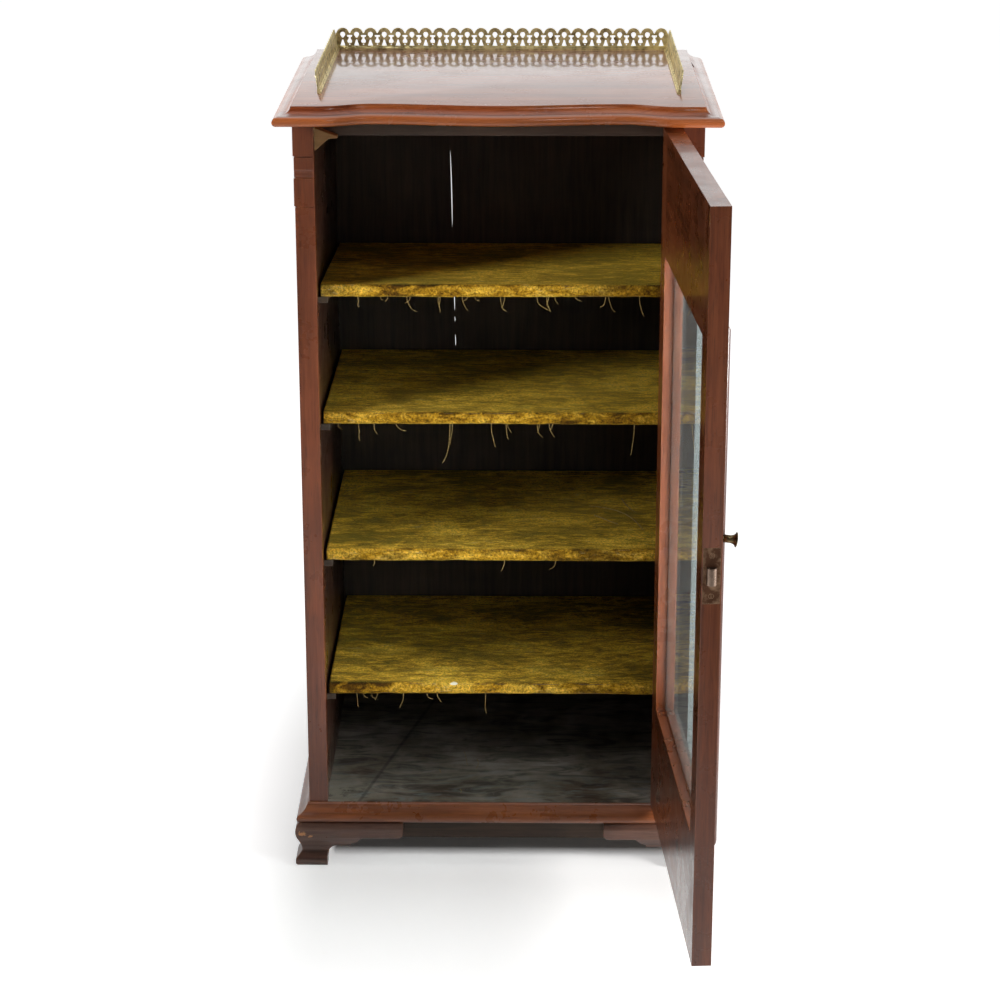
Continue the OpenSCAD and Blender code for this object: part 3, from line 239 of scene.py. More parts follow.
def velvet(name):
    """Old gold cotton velvet, brushed and crushed. On the flat the pile lies in long streaks about 12 mm deep that
    catch the light olive or lose it to brown, with dark crushed patches. The flat tops are painted lighter and olive
    and the front edges darker orange gold: painted sheen, for the pile that shines when seen along it and darkens
    when seen head on. Bare threads show as short pale flecks, the nap is drawn 3 mm coarse so that it shows, and
    grazing light gives it a soft glow. A white scrap of paper sticks to the lowest shelf's edge."""
    streaks, patches, naps, crushes, flecks = 82.0, 17.0, 340.0, 34.0, 330.0     # 12, 60, 3, 30 and 3 mm
    scrap_at, scrap_size = (-0.0567, 0.0485, 0.2312), (0.0052, 0.01, 0.0014)
    m, t, out, at = new_finish(name)
    brushed, laid, pressed, drawn = (add(t, "Mapping", {"Vector": at, "Scale": (along, 1, 1)})
                                     for along in (0.36, 0.5, 0.4, 0.16))
    streak = add(t, "TexNoise", {"Vector": brushed, "Scale": streaks, "Detail": 8.0, "Roughness": 0.74,
                                 "Distortion": 1.1})
    patch = add(t, "TexNoise", {"Vector": laid, "Scale": patches, "Detail": 3.0, "Roughness": 0.5})
    nap = add(t, "TexNoise", {"Vector": at, "Scale": naps, "Detail": 4.0, "Roughness": 0.75})
    both = add(t, "Math", {0: streak.outputs["Fac"], 1: 0.6}, operation="MULTIPLY")
    both = add(t, "Math", {0: patch.outputs["Fac"], 1: 0.4, 2: both}, operation="MULTIPLY_ADD")
    # painted sheen: a lighter olive ramp for the flat tops and a darker orange one for the front edges, mixed by which
    # way the cloth faces
    flat = add(t, "ValToRGB", {"Fac": both}, stops=[(0.41, hexed("#241606")), (0.61, hexed("#f6cc4c")),
                                                    (0.46, hexed("#6e4a0e")), (0.51, hexed("#bf9026"))])
    edge = add(t, "ValToRGB", {"Fac": both}, stops=[(0.40, hexed("#5a3a06")), (0.60, hexed("#e6ba44")),
                                                    (0.48, hexed("#a87c16"))])
    up = add(t, "SeparateXYZ", {0: add(t, "NewGeometry").outputs["Normal"]})
    up = add(t, "MapRange", {"Value": up.outputs["Z"], "From Min": 0.35, "From Max": 0.9})
    body = add(t, "Mix", {"Factor": up, 6: edge, 7: flat}, data_type="RGBA")

    crush = add(t, "TexNoise", {"Vector": pressed, "Scale": crushes, "Detail": 6.0, "Roughness": 0.7})
    crush = add(t, "MapRange", {"Value": crush.outputs["Fac"], "From Min": 0.51, "From Max": 0.6, "To Max": 0.62})
    body = add(t, "Mix", {"Factor": crush, 6: body.outputs[2], 7: hexed("#3c2407")}, data_type="RGBA")
    speck = add(t, "ValToRGB", {"Fac": nap.outputs["Fac"]}, stops=[(0.38, grey(0.3)), (0.62, grey(1.6))])
    body = add(t, "Mix", {"Factor": 0.85, 6: body.outputs[2], 7: speck}, data_type="RGBA", blend_type="MULTIPLY")

    thin = add(t, "TexNoise", {"Vector": drawn, "Scale": flecks, "Detail": 4.0, "Roughness": 0.7})
    thin = add(t, "MapRange", {"Value": thin.outputs["Fac"], "From Min": 0.6, "From Max": 0.68, "To Max": 0.7})
    bare = add(t, "MapRange", {"Value": patch.outputs["Fac"], "From Min": 0.48, "From Max": 0.6})
    bare = add(t, "Math", {0: thin, 1: bare}, operation="MULTIPLY")
    body = add(t, "Mix", {"Factor": bare, 6: body.outputs[2], 7: hexed("#cbb98a")}, data_type="RGBA")
    scrap = blotch(t, at, streak.outputs["Fac"], scrap_at, scrap_size)
    body = add(t, "Mix", {"Factor": scrap, 6: body.outputs[2], 7: hexed("#f4f0e2")}, data_type="RGBA")
    high = add(t, "Math", {0: streak.outputs["Fac"], 1: 0.8, 2: nap.outputs["Fac"]}, operation="MULTIPLY_ADD")
    bump = add(t, "Bump", {"Height": high, "Strength": 0.7, "Distance": 1.6 * MM})
    skin = add(t, "BsdfPrincipled", {"Base Color": body.outputs[2], "Roughness": 0.85, "Normal": bump,
                                     "Specular IOR Level": 0.15, "Sheen Weight": 0.8, "Sheen Roughness": 0.4,
                                     "Sheen Tint": hexed("#e0c048")})
    t.links.new(skin.outputs[0], out.inputs["Surface"])
    return m


def cotton(name, code):
    """Loose ground threads of the velvet: undyed cotton, matt, with a twist of about 1.5 mm."""
    m, t, out, at = new_finish(name)
    twist = add(t, "TexNoise", {"Vector": at, "Scale": 700.0, "Detail": 2.0})
    body = add(t, "ValToRGB", {"Fac": twist.outputs["Fac"]}, stops=[(0.35, hexed("#7d6437")), (0.65, hexed(code))])
    skin = add(t, "BsdfPrincipled", {"Base Color": body, "Roughness": 0.9})
    t.links.new(skin.outputs[0], out.inputs["Surface"])
    return m


def brass(name, bright, tarnish, rough, spread=0.5, metallic=1.0):
    """Cast or rolled metal with its lacquer gone: brown tarnish in patches, and a painted highlight along the edges.
    The higher spread is, the more of it is tarnished."""
    stains, grains = 85.0, 600.0                             # 12 and 1.7 mm
    m, t, out, at = new_finish(name)
    stain = add(t, "TexNoise", {"Vector": at, "Scale": stains, "Detail": 5.0, "Roughness": 0.65})
    # painted highlight: edges, where the rounded normal leaves the true one, are pushed towards the bright colour
    soft = add(t, "Bevel", {"Radius": 1.0 * MM}, samples=4)
    turn = add(t, "VectorMath", {0: soft, 1: add(t, "NewGeometry").outputs["Normal"]}, operation="DOT_PRODUCT")
    edge = add(t, "MapRange", {"Value": turn.outputs["Value"], "From Min": 0.99, "From Max": 0.85, "To Max": 0.35})
    mix = add(t, "Math", {0: stain.outputs["Fac"], 1: edge}, operation="ADD")
    body = add(t, "ValToRGB", {"Fac": mix}, stops=[(spread - 0.14, hexed(tarnish)), (spread + 0.12, hexed(bright))])
    fine = add(t, "TexNoise", {"Vector": at, "Scale": grains, "Detail": 3.0})
    shine = add(t, "MapRange", {"Value": stain.outputs["Fac"], "From Min": 0.35, "From Max": 0.65,
                                "To Min": rough + 0.16, "To Max": rough - 0.04})
    bump = add(t, "Bump", {"Height": fine.outputs["Fac"], "Strength": 0.12, "Distance": 0.2 * MM})
    skin = add(t, "BsdfPrincipled", {"Base Color": body, "Roughness": shine, "Metallic": metallic, "Normal": bump})
    t.links.new(skin.outputs[0], out.inputs["Surface"])
    return m


def window_glass(name):
    """Old drawn sheet glass: clear, faintly green, with a slow ripple about 70 mm wide and a thin film of dust that
    greys it."""
    m, t, out, at = new_finish(name)
    run = add(t, "Mapping", {"Vector": at, "Scale": (1, 1, 0.3)})
    ripple = add(t, "TexNoise", {"Vector": run, "Scale": 14.0, "Detail": 1.0})
    bump = add(t, "Bump", {"Height": ripple.outputs["Fac"], "Strength": 0.02, "Distance": 1.0 * MM})
    skin = add(t, "BsdfPrincipled", {"Base Color": hexed("#e2efee"), "Roughness": 0.0, "Transmission Weight": 0.94,
                                     "IOR": 1.5, "Normal": bump})
    t.links.new(skin.outputs[0], out.inputs["Surface"])
    return m


NOSE_TOP = 0.9651           # height at which the round nose of the top meets its cove
SIDE_INSIDE = 0.2188        # from the middle to just outside the inner faces of the sides
DOOR_CHIPS = [((0.2203, -0.412, 0.9347), (0.0032, 0.0032, 0.0095))]
FOOT_CHIPS = [((-0.2475, -0.02, 0.0455), (0.0095, 0.03, 0.0042)), ((-0.239, -0.02, 0.0415), (0.006, 0.03, 0.0022))]

# the top: mirrors its gallery under a grey bloom of dust and painted sheen, with an orange nose of painted light
top_wood = mahogany("polished_mahogany_top", "x", "#7e3a1c", "#a65428", "#c2703c", gloss=0.2, coat=0.65, wear=0.7,
                    dust_and_sheen=0.35, nosing=NOSE_TOP)
# the strips on the front edges: a dull, dark red brown
edge_wood = mahogany("polished_mahogany_upright", "z", "#522712", "#68331a", "#7e4226", gloss=0.3, coat=0.25, wear=0.45)
# the sides: redder outside, nearly black inside from dark stain and painted shade
side_wood = mahogany("polished_mahogany_side", "z", "#5a2a14", "#72371c", "#8a4828", gloss=0.3, coat=0.25, wear=0.45,
                     inner=SIDE_INSIDE)
# the door: red brown stiles with pale arrises and a chip at the free top corner, and rails with the grain across
door_wood = mahogany("polished_mahogany_door", "z", "#5c2e17", "#783d20", "#8f4f2e", gloss=0.28, coat=0.2, wear=0.55,
                     shift=1.7, chips=DOOR_CHIPS)
rail_wood = mahogany("polished_mahogany_rail", "y", "#5c2e17", "#783d20", "#8f4f2e", gloss=0.28, coat=0.3, wear=0.5,
                     shift=2.9)
# the upright mouldings round the glass: darker, as painted shade
shaded_bead_wood = mahogany("polished_mahogany_bead", "z", "#442011", "#582b17", "#6a3921", gloss=0.32, coat=0.15, wear=0.4,
                     shift=3.3)
# the base moulding in front and at the sides: paler and more rubbed than the case above it
long_wood = mahogany("polished_mahogany_long", "x", "#6a381f", "#8a4e2d", "#a5623c", gloss=0.3, coat=0.3, wear=0.5,
                     shift=0.6)
deep_wood = mahogany("polished_mahogany_return", "y", "#6a381f", "#8a4e2d", "#a5623c", gloss=0.3, coat=0.3, wear=0.8,
                     shift=4.1)
# the feet: greyed and scuffed, with two orange chips on the left one
foot_wood = mahogany("polished_mahogany_feet", "x", "#4a3024", "#664436", "#7e5a48", gloss=0.34, coat=0.2, wear=0.8,
                     shift=5.3, chips=FOOT_CHIPS)
foot_deep = mahogany("polished_mahogany_feet_side", "y", "#563424", "#704634", "#885a42", gloss=0.34, coat=0.2,
                     wear=0.8, shift=6.1)

# softwood: back boards, shelves and battens that the eye takes for black, against pale bare blocks
dark_tall = stained("dark_stained_pine_upright", "z", "#30271d", "#584838")
dark_wide = stained("dark_stained_pine_along", "x", "#33261b", "#5c4838")
dark_deep = stained("dark_stained_pine_across", "y", "#2a2019", "#4f3e2e")
bare_wood = stained("bare_pine", "x", "#8a5e36", "#c29a66", rough=0.7)
# the floor board: grey green with dust and paler at the front with painted light, the one light thing in the dark
floor_dust = dusty_floor("dusty_stained_pine")

# the shelves: gold velvet with its pale hanging threads, behind clear greenish glass
gold_velvet = velvet("crushed_gold_velvet")
loose_cotton = cotton("loose_cotton_threads", "#b89a5c")
pane = window_glass("old_sheet_glass")

# metal, each with a painted highlight along its edges: a pale yellow gallery, a brown catch plate with a bolt rubbed
# brighter, a dark knob and yellow hinges
gallery_brass = brass("aged_cast_brass", "#f0dfa4", "#66542c", 0.36, spread=0.45, metallic=0.7)
plate_brass = brass("tarnished_rolled_brass", "#a5856a", "#5c4030", 0.42, spread=0.58)
knob_brass = brass("tarnished_turned_brass", "#8f7c58", "#2e241a", 0.3, spread=0.55)
bolt_brass = brass("worn_bolt_brass", "#9c8676", "#57463c", 0.3, spread=0.46)
hinge_brass = brass("rolled_hinge_brass", "#a98c55", "#4d3a22", 0.36)
drawn_steel = brass("drawn_steel_wire", "#8d8a85", "#3b332c", 0.4)


# ---------------------------------------------------------------- shapes

def dress(name, mesh, finish, body, smooth=35.0):
    """Puts a mesh in the scene with its finish and its body, shaded smooth up to an angle in degrees."""
    mesh.materials.clear()
    mesh.materials.append(finish)
    mesh.polygons.foreach_set("use_smooth", np.ones(len(mesh.polygons), bool))
    mesh.set_sharp_from_angle(angle=math.radians(smooth))
    obj = bpy.data.objects.new(name, mesh)
    bpy.context.scene.collection.objects.link(obj)
    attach(obj, body)
    return obj


def show(name, verts, faces, finish, body, slot, smooth):
    """A mesh from arrays of points and faces, in place."""
    mesh = bpy.data.meshes.new(name)
    mesh.from_pydata(np.asarray(verts, float).tolist(), [], [list(map(int, f)) for f in faces])
    return dress(name, mesh, finish, body, smooth)


def eased(node, finish, body, width=0.5, turn=28.0, steps=2):
    """A joiner's piece with its arrises taken off: a merged copy of the CAD piece, flat facets joined,
    and each edge sharper than turn degrees rounded over width millimetres."""
    bm = bmesh.new()
    bm.from_mesh(nodes[node].data)
    bmesh.ops.remove_doubles(bm, verts=bm.verts, dist=2e-6)
    bmesh.ops.dissolve_limit(bm, angle_limit=math.radians(0.5), verts=bm.verts, edges=bm.edges)
    mesh = bpy.data.meshes.new("soft_" + node)
    bm.to_mesh(mesh)
    bm.free()
    obj = dress("soft_" + node, mesh, finish, body)
    if width:
        round_over = obj.modifiers.new("arris", "BEVEL")
        round_over.width = width * MM
        round_over.segments = steps
        round_over.limit_method = "ANGLE"
        round_over.angle_limit = math.radians(turn)
        round_over.use_clamp_overlap = True
        round_over.harden_normals = False
    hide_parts(node)
    return obj


def paint(node, finish):
    """Gives a CAD piece that stays its finish."""
    nodes[node].data.materials.clear()
    nodes[node].data.materials.append(finish)


def cloud(u, v, size, seed, octaves=3):
    """Smooth random heights from -1 to 1: a lattice of random numbers, eased between corners, added over octaves
    that each have half the size and half the weight of the last."""
    side = 128
    total, weight, share = 0.0, 0.0, 1.0
    for octave in range(octaves):
        lattice = np.random.default_rng(seed + octave).uniform(-1, 1, (side, side))
        x, y = u / size, v / size
        i, j = np.floor(x).astype(int), np.floor(y).astype(int)
        fx, fy = x - i, y - j
        fx, fy = fx * fx * (3 - 2 * fx), fy * fy * (3 - 2 * fy)
        a, b = lattice[i % side, j % side], lattice[(i + 1) % side, j % side]
        c, d = lattice[i % side, (j + 1) % side], lattice[(i + 1) % side, (j + 1) % side]
        total = total + share * ((a * (1 - fx) + b * fx) * (1 - fy) + (c * (1 - fx) + d * fx) * fy)
        weight, share, size = weight + share, share * 0.5, size * 0.5
    return total / weight


def grid_faces(rows, columns, around=False):
    """Quads of a grid of rows by columns points, closed round its columns if around."""
    last = columns if around else columns - 1
    i, j = np.meshgrid(np.arange(rows - 1), np.arange(last), indexing="ij")
    k = (j + 1) % columns
    quads = [i * columns + j, i * columns + k, (i + 1) * columns + k, (i + 1) * columns + j]
    return np.stack(quads, -1).reshape(-1, 4)


def strand(points, radius, sides=5):
    """A thread: a ring of sides points round each point of a smooth line, closed with a point at both ends.
    The ring stands square to the line, on two directions crossed from it, and thins towards the thread's end."""
    p = np.asarray(points, float)
    along = np.gradient(p, axis=0)
    along /= np.linalg.norm(along, axis=1)[:, None]
    side = np.cross(along, [0.31, 0.9, 0.2])                 # any direction that no thread follows
    side /= np.linalg.norm(side, axis=1)[:, None]
    up = np.cross(side, along)
    a = np.arange(sides) * 2 * math.pi / sides
    taper = radius * np.interp(np.arange(len(p)), [0, 1, len(p) - 2, len(p) - 1], [1, 1, 0.8, 0.35])
    ring = np.cos(a)[None, :, None] * side[:, None] + np.sin(a)[None, :, None] * up[:, None]
    rings = p[:, None] + taper[:, None, None] * ring
    verts = np.concatenate([rings.reshape(-1, 3), p[:1], p[-1:]])
    faces = [list(f[::-1]) for f in grid_faces(len(p), sides, around=True)]
    n, m = len(p) * sides, (len(p) - 1) * sides
    faces += [[n, (j + 1) % sides, j] for j in range(sides)]
    faces += [[n + 1, m + j, m + (j + 1) % sides] for j in range(sides)]
    return verts, faces


def gathered(parts):
    """Several point and face lists as one."""
    verts, faces, first = [], [], 0
    for v, f in parts:
        verts.append(v)
        faces += [[int(i) + first for i in face] for face in f]
        first += len(v)
    return np.concatenate(verts), faces


# ---------------------------------------------------------------- case

for node in ("top_board", "top_back_board"):
    eased(node, top_wood, "cabinet", width=0.35, turn=40)

# finish, slot, rounding of the arrises in millimetres, pieces
CASE = [
    (side_wood, "mahogany", 0.5, "side_left side_right"),
    (edge_wood, "mahogany", 0.5, "front_strip_left front_strip_right"),
    (long_wood, "mahogany", 0.5, "base_moulding_front"),
    (deep_wood, "mahogany", 0.5, "base_moulding_left base_moulding_right"),
    (foot_wood, "mahogany", 0.5, "foot_front_left foot_front_right"),
    (foot_deep, "mahogany", 0.5, "foot_front_left_return foot_front_right_return foot_back_left_return"),
    (foot_deep, "mahogany", 0.5, "foot_back_right_return"),
    (dark_wide, "inner_wood", 0.4, "top_rail"),
    (dark_tall, "inner_wood", 0.4, "back_board_left back_board_middle back_board_right"),
    (dark_wide, "inner_wood", 0.4, "plinth_rail foot_back_brackets"),
    (dark_deep, "inner_wood", 0.4, "shelf_bearers_left shelf_bearers_right"),
    (dark_wide, "inner_wood", 0.4, "shelf_1 shelf_2 shelf_3 shelf_4"),
    (floor_dust, "inner_wood", 0.4, "bottom_board"),
    (bare_wood, "raw_wood", 0.6, "corner_block foot_blocks"),
]
for finish, slot, width, pieces in CASE:
    for node in pieces.split():
        eased(node, finish, "cabinet", width=width)
for node in ("gallery_back", "gallery_left", "gallery_right"):
    eased(node, gallery_brass, "cabinet", width=0.22, steps=1)

# these pieces keep their CAD shape
KEPT = {"gallery_pins": gallery_brass, "hinge_leaves_case": hinge_brass, "hinge_pins": drawn_steel,
        "case_screws": plate_brass, "strike_plate": plate_brass, "back_nails": drawn_steel,
        "hinge_leaves_door": hinge_brass, "door_screws": plate_brass, "latch_case": plate_brass, "door_glass": pane,
        "knob_rose": knob_brass}
for node, finish in KEPT.items():
    paint(node, finish)
nodes["door_glass"].visible_shadow = False      # clear glass lets the lamp beside the door through to the shelves


# ---------------------------------------------------------------- shelves

SHELF_Y = 0.049                                 # front edge of the shelves
SHELF_HALF, SHELF_D = 0.2153, 0.343             # half their width, their depth
THICK = 0.015                                   # their thickness
SHELVES = [(0.7352, 28.0), (0.5746, 14.0), (0.397, 7.0), (0.2174, 10.0)]      # height in front, fall to the back in mm
FALL_OVER = 347.0                               # the depth in millimetres over which they fall
ARRIS = 0.004                                   # radius of the cloth over their front corners
HEM = 0.024                                     # how far the cloth reaches under them
CLOTH = 0.8 * MM


def on_shelf(i, x, y, z):
    """Points of shelf i, given along, back from and up from its front lower edge, tilted back by its fall."""
    height, fall = SHELVES[i]
    a = -math.asin(fall / FALL_OVER)
    return np.stack([x, SHELF_Y + y * math.cos(a) - z * math.sin(a), height + y * math.sin(a) + z * math.cos(a)], -1)


def cover(i):
    """The velvet over shelf i. Its line runs forward under the board, round the front edge with 4 mm corners and
    back over the top. Along the shelf the line is carried on, and each point moves out by
    0.35 cloud(12 mm) + 0.25 cloud(35 mm, drawn along) of crushed pile and, within 20 mm of the front edge,
    0.6 cloud(45 mm) of slack, all in millimetres. The ends are frilled by 0.6 cloud(10 mm)."""
    arc = np.linspace(0, math.pi / 2, 5)[1:-1]
    line = [(y, 0.0) for y in np.linspace(HEM, ARRIS, 7)]
    line += [(ARRIS - ARRIS * math.sin(a), ARRIS - ARRIS * math.cos(a)) for a in arc]
    line += [(0.0, z) for z in np.linspace(ARRIS, THICK - ARRIS, 5)]
    line += [(ARRIS - ARRIS * math.cos(a), THICK - ARRIS + ARRIS * math.sin(a)) for a in arc]
    line += [(y, THICK) for y in np.linspace(ARRIS, SHELF_D - 0.5 * MM, 118)]
    line = np.array(line)
    d = np.gradient(line, axis=0)
    d /= np.linalg.norm(d, axis=1)[:, None]
    out = np.stack([-d[:, 1], d[:, 0]], -1)
    xs = np.linspace(-SHELF_HALF, SHELF_HALF, 190)
    run = np.concatenate([[0], np.cumsum(np.linalg.norm(np.diff(line, axis=0), axis=1))])
    S, X = np.meshgrid(run, xs, indexing="ij")
    pile = 0.00035 * cloud(X + 3, S + 1, 0.012, 11 + 7 * i) + 0.00025 * cloud(X * 0.4 + 3, S + 1, 0.035, 29 + 7 * i)
    front = np.exp(-((S - 0.03) / 0.02) ** 2)
    slack = front * 0.0006 * cloud(X + 5, 0 * X, 0.045, 43 + 7 * i, 2)
    move = np.clip(pile + slack, -0.0004, 0.0009)
    Y = line[:, 0][:, None] + out[:, 0][:, None] * move
    Z = line[:, 1][:, None] + out[:, 1][:, None] * move
    end = np.abs(X) > SHELF_HALF - 0.001
    frill = 0.0006 * cloud(S + 9, 0 * X, 0.01, 61 + i)
    verts = on_shelf(i, X + end * (frill - 0.0006 * np.sign(X)), Y, Z).reshape(-1, 3)
    obj = show(f"velvet_{i + 1}", verts, grid_faces(len(line), len(xs)), gold_velvet, "cabinet", "velvet", 60)
    wall = obj.modifiers.new("thickness", "SOLIDIFY")
    wall.thickness = CLOTH
    wall.offset = -1
    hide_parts(f"shelf_cloth_{i + 1}")
    return obj, float(run[-1])


# hanging threads of each shelf: place along it, drop, sideways hook at the end, all in millimetres
THREADS = [
    [(-170, 15, 1), (-143, 5, 4), (-134, 7, -3), (-111, 21, 12), (-107, 9, -6), (-73, 22, 3), (-71, 17, -1),
     (-44, 19, 8), (-38, 6, -5), (-29, 6, 6), (2, 21, 7), (7, 16, -4), (46, 19, 16), (58, 21, 5), (60, 12, -3),
     (68, 10, 4), (92, 6, 9), (129, 14, -6), (133, 21, 9), (170, 27, 6)],
    [(-197, 8, 5), (-172, 24, 2), (-153, 15, 4), (-126, 10, 14), (-60, 56, -9), (-57, 30, -4), (-9, 33, 6),
     (9, 22, 4), (11, 12, 6), (47, 19, 7), (50, 12, -4), (62, 18, 8), (66, 8, -4), (166, 44, -5)],
    [(-155, 9, -1), (7, 16, -5), (71, 13, -9)],
    [(-180, 21, 3), (-172, 6, 6), (-161, 8, 4), (-154, 10, -4), (-121, 21, -5), (-91, 8, 7), (-78, 12, 6),
     (-17, 30, 1)],
]

# single threads that came off the cloth and lie on the third shelf and on the floor board: corners of the way
# each takes (along, back) and its radius, all in millimetres
SHELF_HAIRS = [
    ([(160, 212), (164, 190), (166, 178), (170, 169), (177, 152)], 0.55),
    ([(117, 182), (133, 172), (156, 155), (167, 145), (172, 121), (176, 102), (184, 79)], 0.7),
    ([(122, 141), (133, 127), (144, 112), (152, 103)], 0.8),
]
FLOOR_HAIRS = [
    ([(-47, 175), (-44, 150), (-42, 129)], 0.3),
    ([(-30, 151), (-28, 134), (-31, 119)], 0.3),
    ([(-78, 117), (-77, 111), (-76, 106)], 0.4),
    ([(-50, 56), (-48, 50), (-49, 45)], 0.35),
]
FLOOR_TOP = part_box("bottom_board")[1][2]


def lying(hairs, place):
    """Threads lying flat: through each list of corners goes a smooth line, a cubic at most, fitted to along and
    back against the way travelled, and place puts its points on what carries them, given a radius up."""
    parts = []
    for corners, radius in hairs:
        c = np.array(corners, float)
        way = np.concatenate([[0], np.cumsum(np.linalg.norm(np.diff(c, axis=0), axis=1))])
        s = np.linspace(0, way[-1], 12)
        bend = min(3, len(c) - 1)
        x, y = (np.polyval(np.polyfit(way, c[:, k], bend), s) * MM for k in (0, 1))
        parts.append(strand(place(x, y, radius * MM), radius * MM))
    return gathered(parts)


def on_third_shelf(x, y, up):
    """Points on the pile of the third shelf, into which a thread sinks a little."""
    return on_shelf(2, x, y, THICK + 0.0004 + 0.6 * up)


def on_floor(x, y, up):
    """Points on the floor board."""
    return np.stack([x, y, FLOOR_TOP + 0 * x + 0.9 * up], -1)


def fringe(i):
    """The ground threads that hang from the cloth's lower front edge: each leaves the edge forwards,
    drops under its own weight and curls sideways at its end, with a small seeded waver."""
    rng = np.random.default_rng(5 + i)
    parts = []
    for x, drop, hook in THREADS[i]:
        s = np.linspace(0, 1, 14)
        wave = 0.0009 * np.sin(s * rng.uniform(4, 9) + rng.uniform(0, 6)) * s
        px = x * MM + hook * MM * s ** 2.2 + wave
        py = 0.003 - 0.0035 * np.sin(s * 2.2) + 0.001 * np.cos(s * 5 + x) * s
        pz = 0.0006 - drop * MM * s * (1 - 0.12 * s ** 3)
        parts.append(strand(on_shelf(i, px, py, pz), rng.uniform(0.00032, 0.0005)))
    if i == 2:
        parts.append(lying(SHELF_HAIRS, on_third_shelf))
    verts, faces = gathered(parts)
    return show(f"fringe_{i + 1}", verts, faces, loose_cotton, "cabinet", "velvet", 80)


for shelf in range(4):
    cloth, length = cover(shelf)
    threads = fringe(shelf)

show("floor_threads", *lying(FLOOR_HAIRS, on_floor), loose_cotton, "cabinet", "velvet", 80)


# ---------------------------------------------------------------- door

DOOR = [
    (door_wood, "door_stile_hinge door_stile_lock"),
    (shaded_bead_wood, "door_moulding_hinge door_moulding_lock"),
    (rail_wood, "door_rail_top door_rail_bottom door_moulding_top door_moulding_bottom"),
]
for finish, pieces in DOOR:
    for node in pieces.split():
        eased(node, finish, "door", width=0.5)
eased("latch_plate", plate_brass, "door", width=0.25)
eased("knob", knob_brass, "door", width=0.0)
eased("latch_bolt", bolt_brass, "latch_bolt", width=0.3)

# the catch's spring, which the bolt presses against the back of its case, with a mesh of its own
spring = eased("latch_spring", drawn_steel, "door", width=0.0)
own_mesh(spring)


# ---------------------------------------------------------------- room, lamps and camera

CASE_MID, CASE_HALF = (0.0, 0.225, 0.0), (0.21, 0.165, 0.0)      # the floor under the case, a little inside its feet
# how brightly the paper glows, by distance from there in metres: dark under the case, then grey, then white, which
# paints a shadow round the case
PAPER_GLOW_AND_SHADOW = [(0.0, 0.02), (0.6, 1.0), (0.012, 0.22), (0.028, 0.52), (0.1, 0.5), (0.24, 0.66)]


def backdrop(name, tint):
    """White paper sweep: a matt white that also shows itself as plain white, fading to its own lit white near the
    cabinet, within 0.6 m in front and four times sooner beside it, so that its glow paints a shadow round the case
    over the real one.
    What it gives to polish fades towards the dark room in front."""
    m, t, out, at = new_finish(name)
    rays = add(t, "LightPath")
    straight = add(t, "Math", {0: rays.outputs["Is Camera Ray"], 1: rays.outputs["Is Transmission Ray"]},
                   operation="MAXIMUM")
    front = add(t, "MapRange", {"Value": add(t, "SeparateXYZ", {0: at}).outputs["Y"],
                                "From Min": -2.2, "From Max": -0.5, "To Min": 0.12, "To Max": 0.8})
    mirrored = add(t, "Math", {0: rays.outputs["Is Glossy Ray"], 1: front}, operation="MULTIPLY")
    seen = add(t, "Math", {0: straight, 1: mirrored}, operation="MAXIMUM")
    paper = add(t, "BsdfDiffuse", {"Color": hexed(tint)})
    # painted shadow: the glow is dimmed by distance from the case
    far = add(t, "VectorMath", {0: at, 1: CASE_MID}, operation="SUBTRACT")
    far = add(t, "VectorMath", {0: far}, operation="ABSOLUTE")
    far = add(t, "VectorMath", {0: far, 1: CASE_HALF}, operation="SUBTRACT")
    far = add(t, "VectorMath", {0: far, 1: (4.0, 1.0, 0.0)}, operation="MULTIPLY")
    far = add(t, "VectorMath", {0: far, 1: (0.0, 0.0, 0.0)}, operation="MAXIMUM")
    far = add(t, "VectorMath", {0: far}, operation="LENGTH")
    far = add(t, "ValToRGB", {"Fac": far.outputs["Value"]}, stops=[(d, grey(v)) for d, v in PAPER_GLOW_AND_SHADOW])
    far = add(t, "Math", {0: seen, 1: far}, operation="MULTIPLY")
    white = add(t, "Emission", {"Color": (1, 1, 1, 1), "Strength": far})
    t.links.new(add(t, "AddShader", {0: paper, 1: white}).outputs[0], out.inputs["Surface"])
    return m


floor_mesh = bpy.data.meshes.new("studio_floor")
floor_mesh.from_pydata([(-9, -9, 0), (9, -9, 0), (9, 9, 0), (-9, 9, 0)], [], [(0, 1, 2, 3)])
floor_mesh.materials.append(backdrop("white_paper_floor", "#e6e5e3"))
floor = bpy.data.objects.new("studio_floor", floor_mesh)
bpy.context.scene.collection.objects.link(floor)

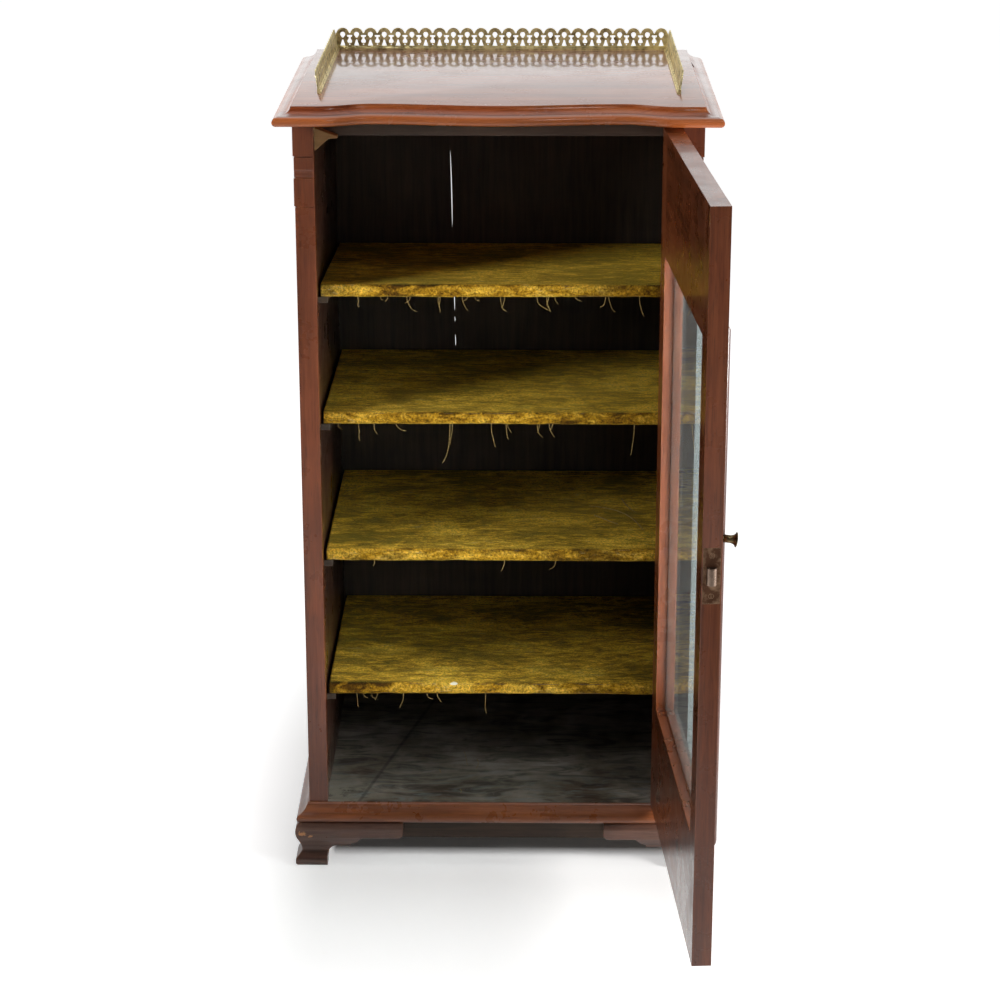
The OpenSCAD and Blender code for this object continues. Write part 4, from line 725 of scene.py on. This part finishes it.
# the room: plain white to the eye and through the glass, in polish white behind and dark in front, and almost no light
world = bpy.data.worlds.new("studio")
bpy.context.scene.world = world
world.use_nodes = True
sky = world.node_tree
sky.nodes.clear()
rays = add(sky, "LightPath")
straight = add(sky, "Math", {0: rays.outputs["Is Camera Ray"], 1: rays.outputs["Is Transmission Ray"]},
               operation="MAXIMUM")
way = add(sky, "SeparateXYZ", {0: add(sky, "TexCoord").outputs["Generated"]})
way = add(sky, "MapRange", {"Value": way.outputs["Y"], "From Min": -0.25, "From Max": 0.35,
                            "To Min": 0.06, "To Max": 1.0})
mirrored = add(sky, "Math", {0: rays.outputs["Is Glossy Ray"], 1: way}, operation="MULTIPLY")
tone = add(sky, "Math", {0: straight, 1: mirrored}, operation="MAXIMUM")
tone = add(sky, "Math", {0: tone, 1: 0.025}, operation="MAXIMUM")
add(sky, "OutputWorld", {"Surface": add(sky, "Background", {"Color": (1, 1, 1, 1), "Strength": tone})})


def lamp(name, at, to, size, watts, spread=180):
    """A soft box: a rectangular lamp of width and height, aimed from one point at another, with a grid that keeps
    its light within spread degrees."""
    data = bpy.data.lights.new(name, "AREA")
    data.shape = "RECTANGLE"
    data.size, data.size_y = size
    data.energy = watts
    data.spread = math.radians(spread)
    obj = bpy.data.objects.new(name, data)
    obj.location = at
    d = np.array(to, float) - np.array(at, float)
    obj.rotation_euler = (math.atan2(math.hypot(d[0], d[1]), -d[2]), 0, math.atan2(-d[0], d[1]))
    bpy.context.scene.collection.objects.link(obj)
    return obj


# a narrow beam from the left into the upper compartments; a strong lamp beside the door, through its glass onto the
# left halves of the shelves; a small one from high on the right; a weak one from the camera's side; one for the top,
# which the polish there doesn't show; and a wide one behind for the crack in the back and the far edges
lamp("box_left", (-1.3, -0.8, 1.25), (0.05, 0.2, 0.85), (0.5, 0.4), 1.7, 60)
lamp("box_right", (1.25, -0.52, 0.6), (0.0, 0.0, 0.5), (0.45, 0.3), 17)
lamp("box_high", (0.61, -1.37, 2.4), (0.0, 0.0, 0.55), (0.35, 0.35), 3)
lamp("front_panel", (0.0, -2.8, 1.2), (0.0, 0.0, 0.6), (1.5, 1.5), 1.7)
lamp("top_panel", (0.0, 0.1, 2.8), (0.0, 0.1, 0.9), (1.0, 1.0), 14).visible_glossy = False
lamp("back_panel", (0.0, 2.6, 1.8), (0.0, 0.2, 0.95), (4.0, 2.0), 6)

# the photo's view, solved from its straight edges
eye = bpy.data.cameras.new("photo_view")
eye.sensor_width = 36.0
eye.lens = 97.0
camera = bpy.data.objects.new("photo_view", eye)
camera.location = (0.03629, -3.1096, 1.5356)
camera.rotation_euler = (math.radians(71.48), 0.0, math.radians(0.63))
bpy.context.scene.collection.objects.link(camera)
bpy.context.scene.camera = camera
bpy.context.scene.view_settings.view_transform = "Standard"

bpy.context.view_layer.update()
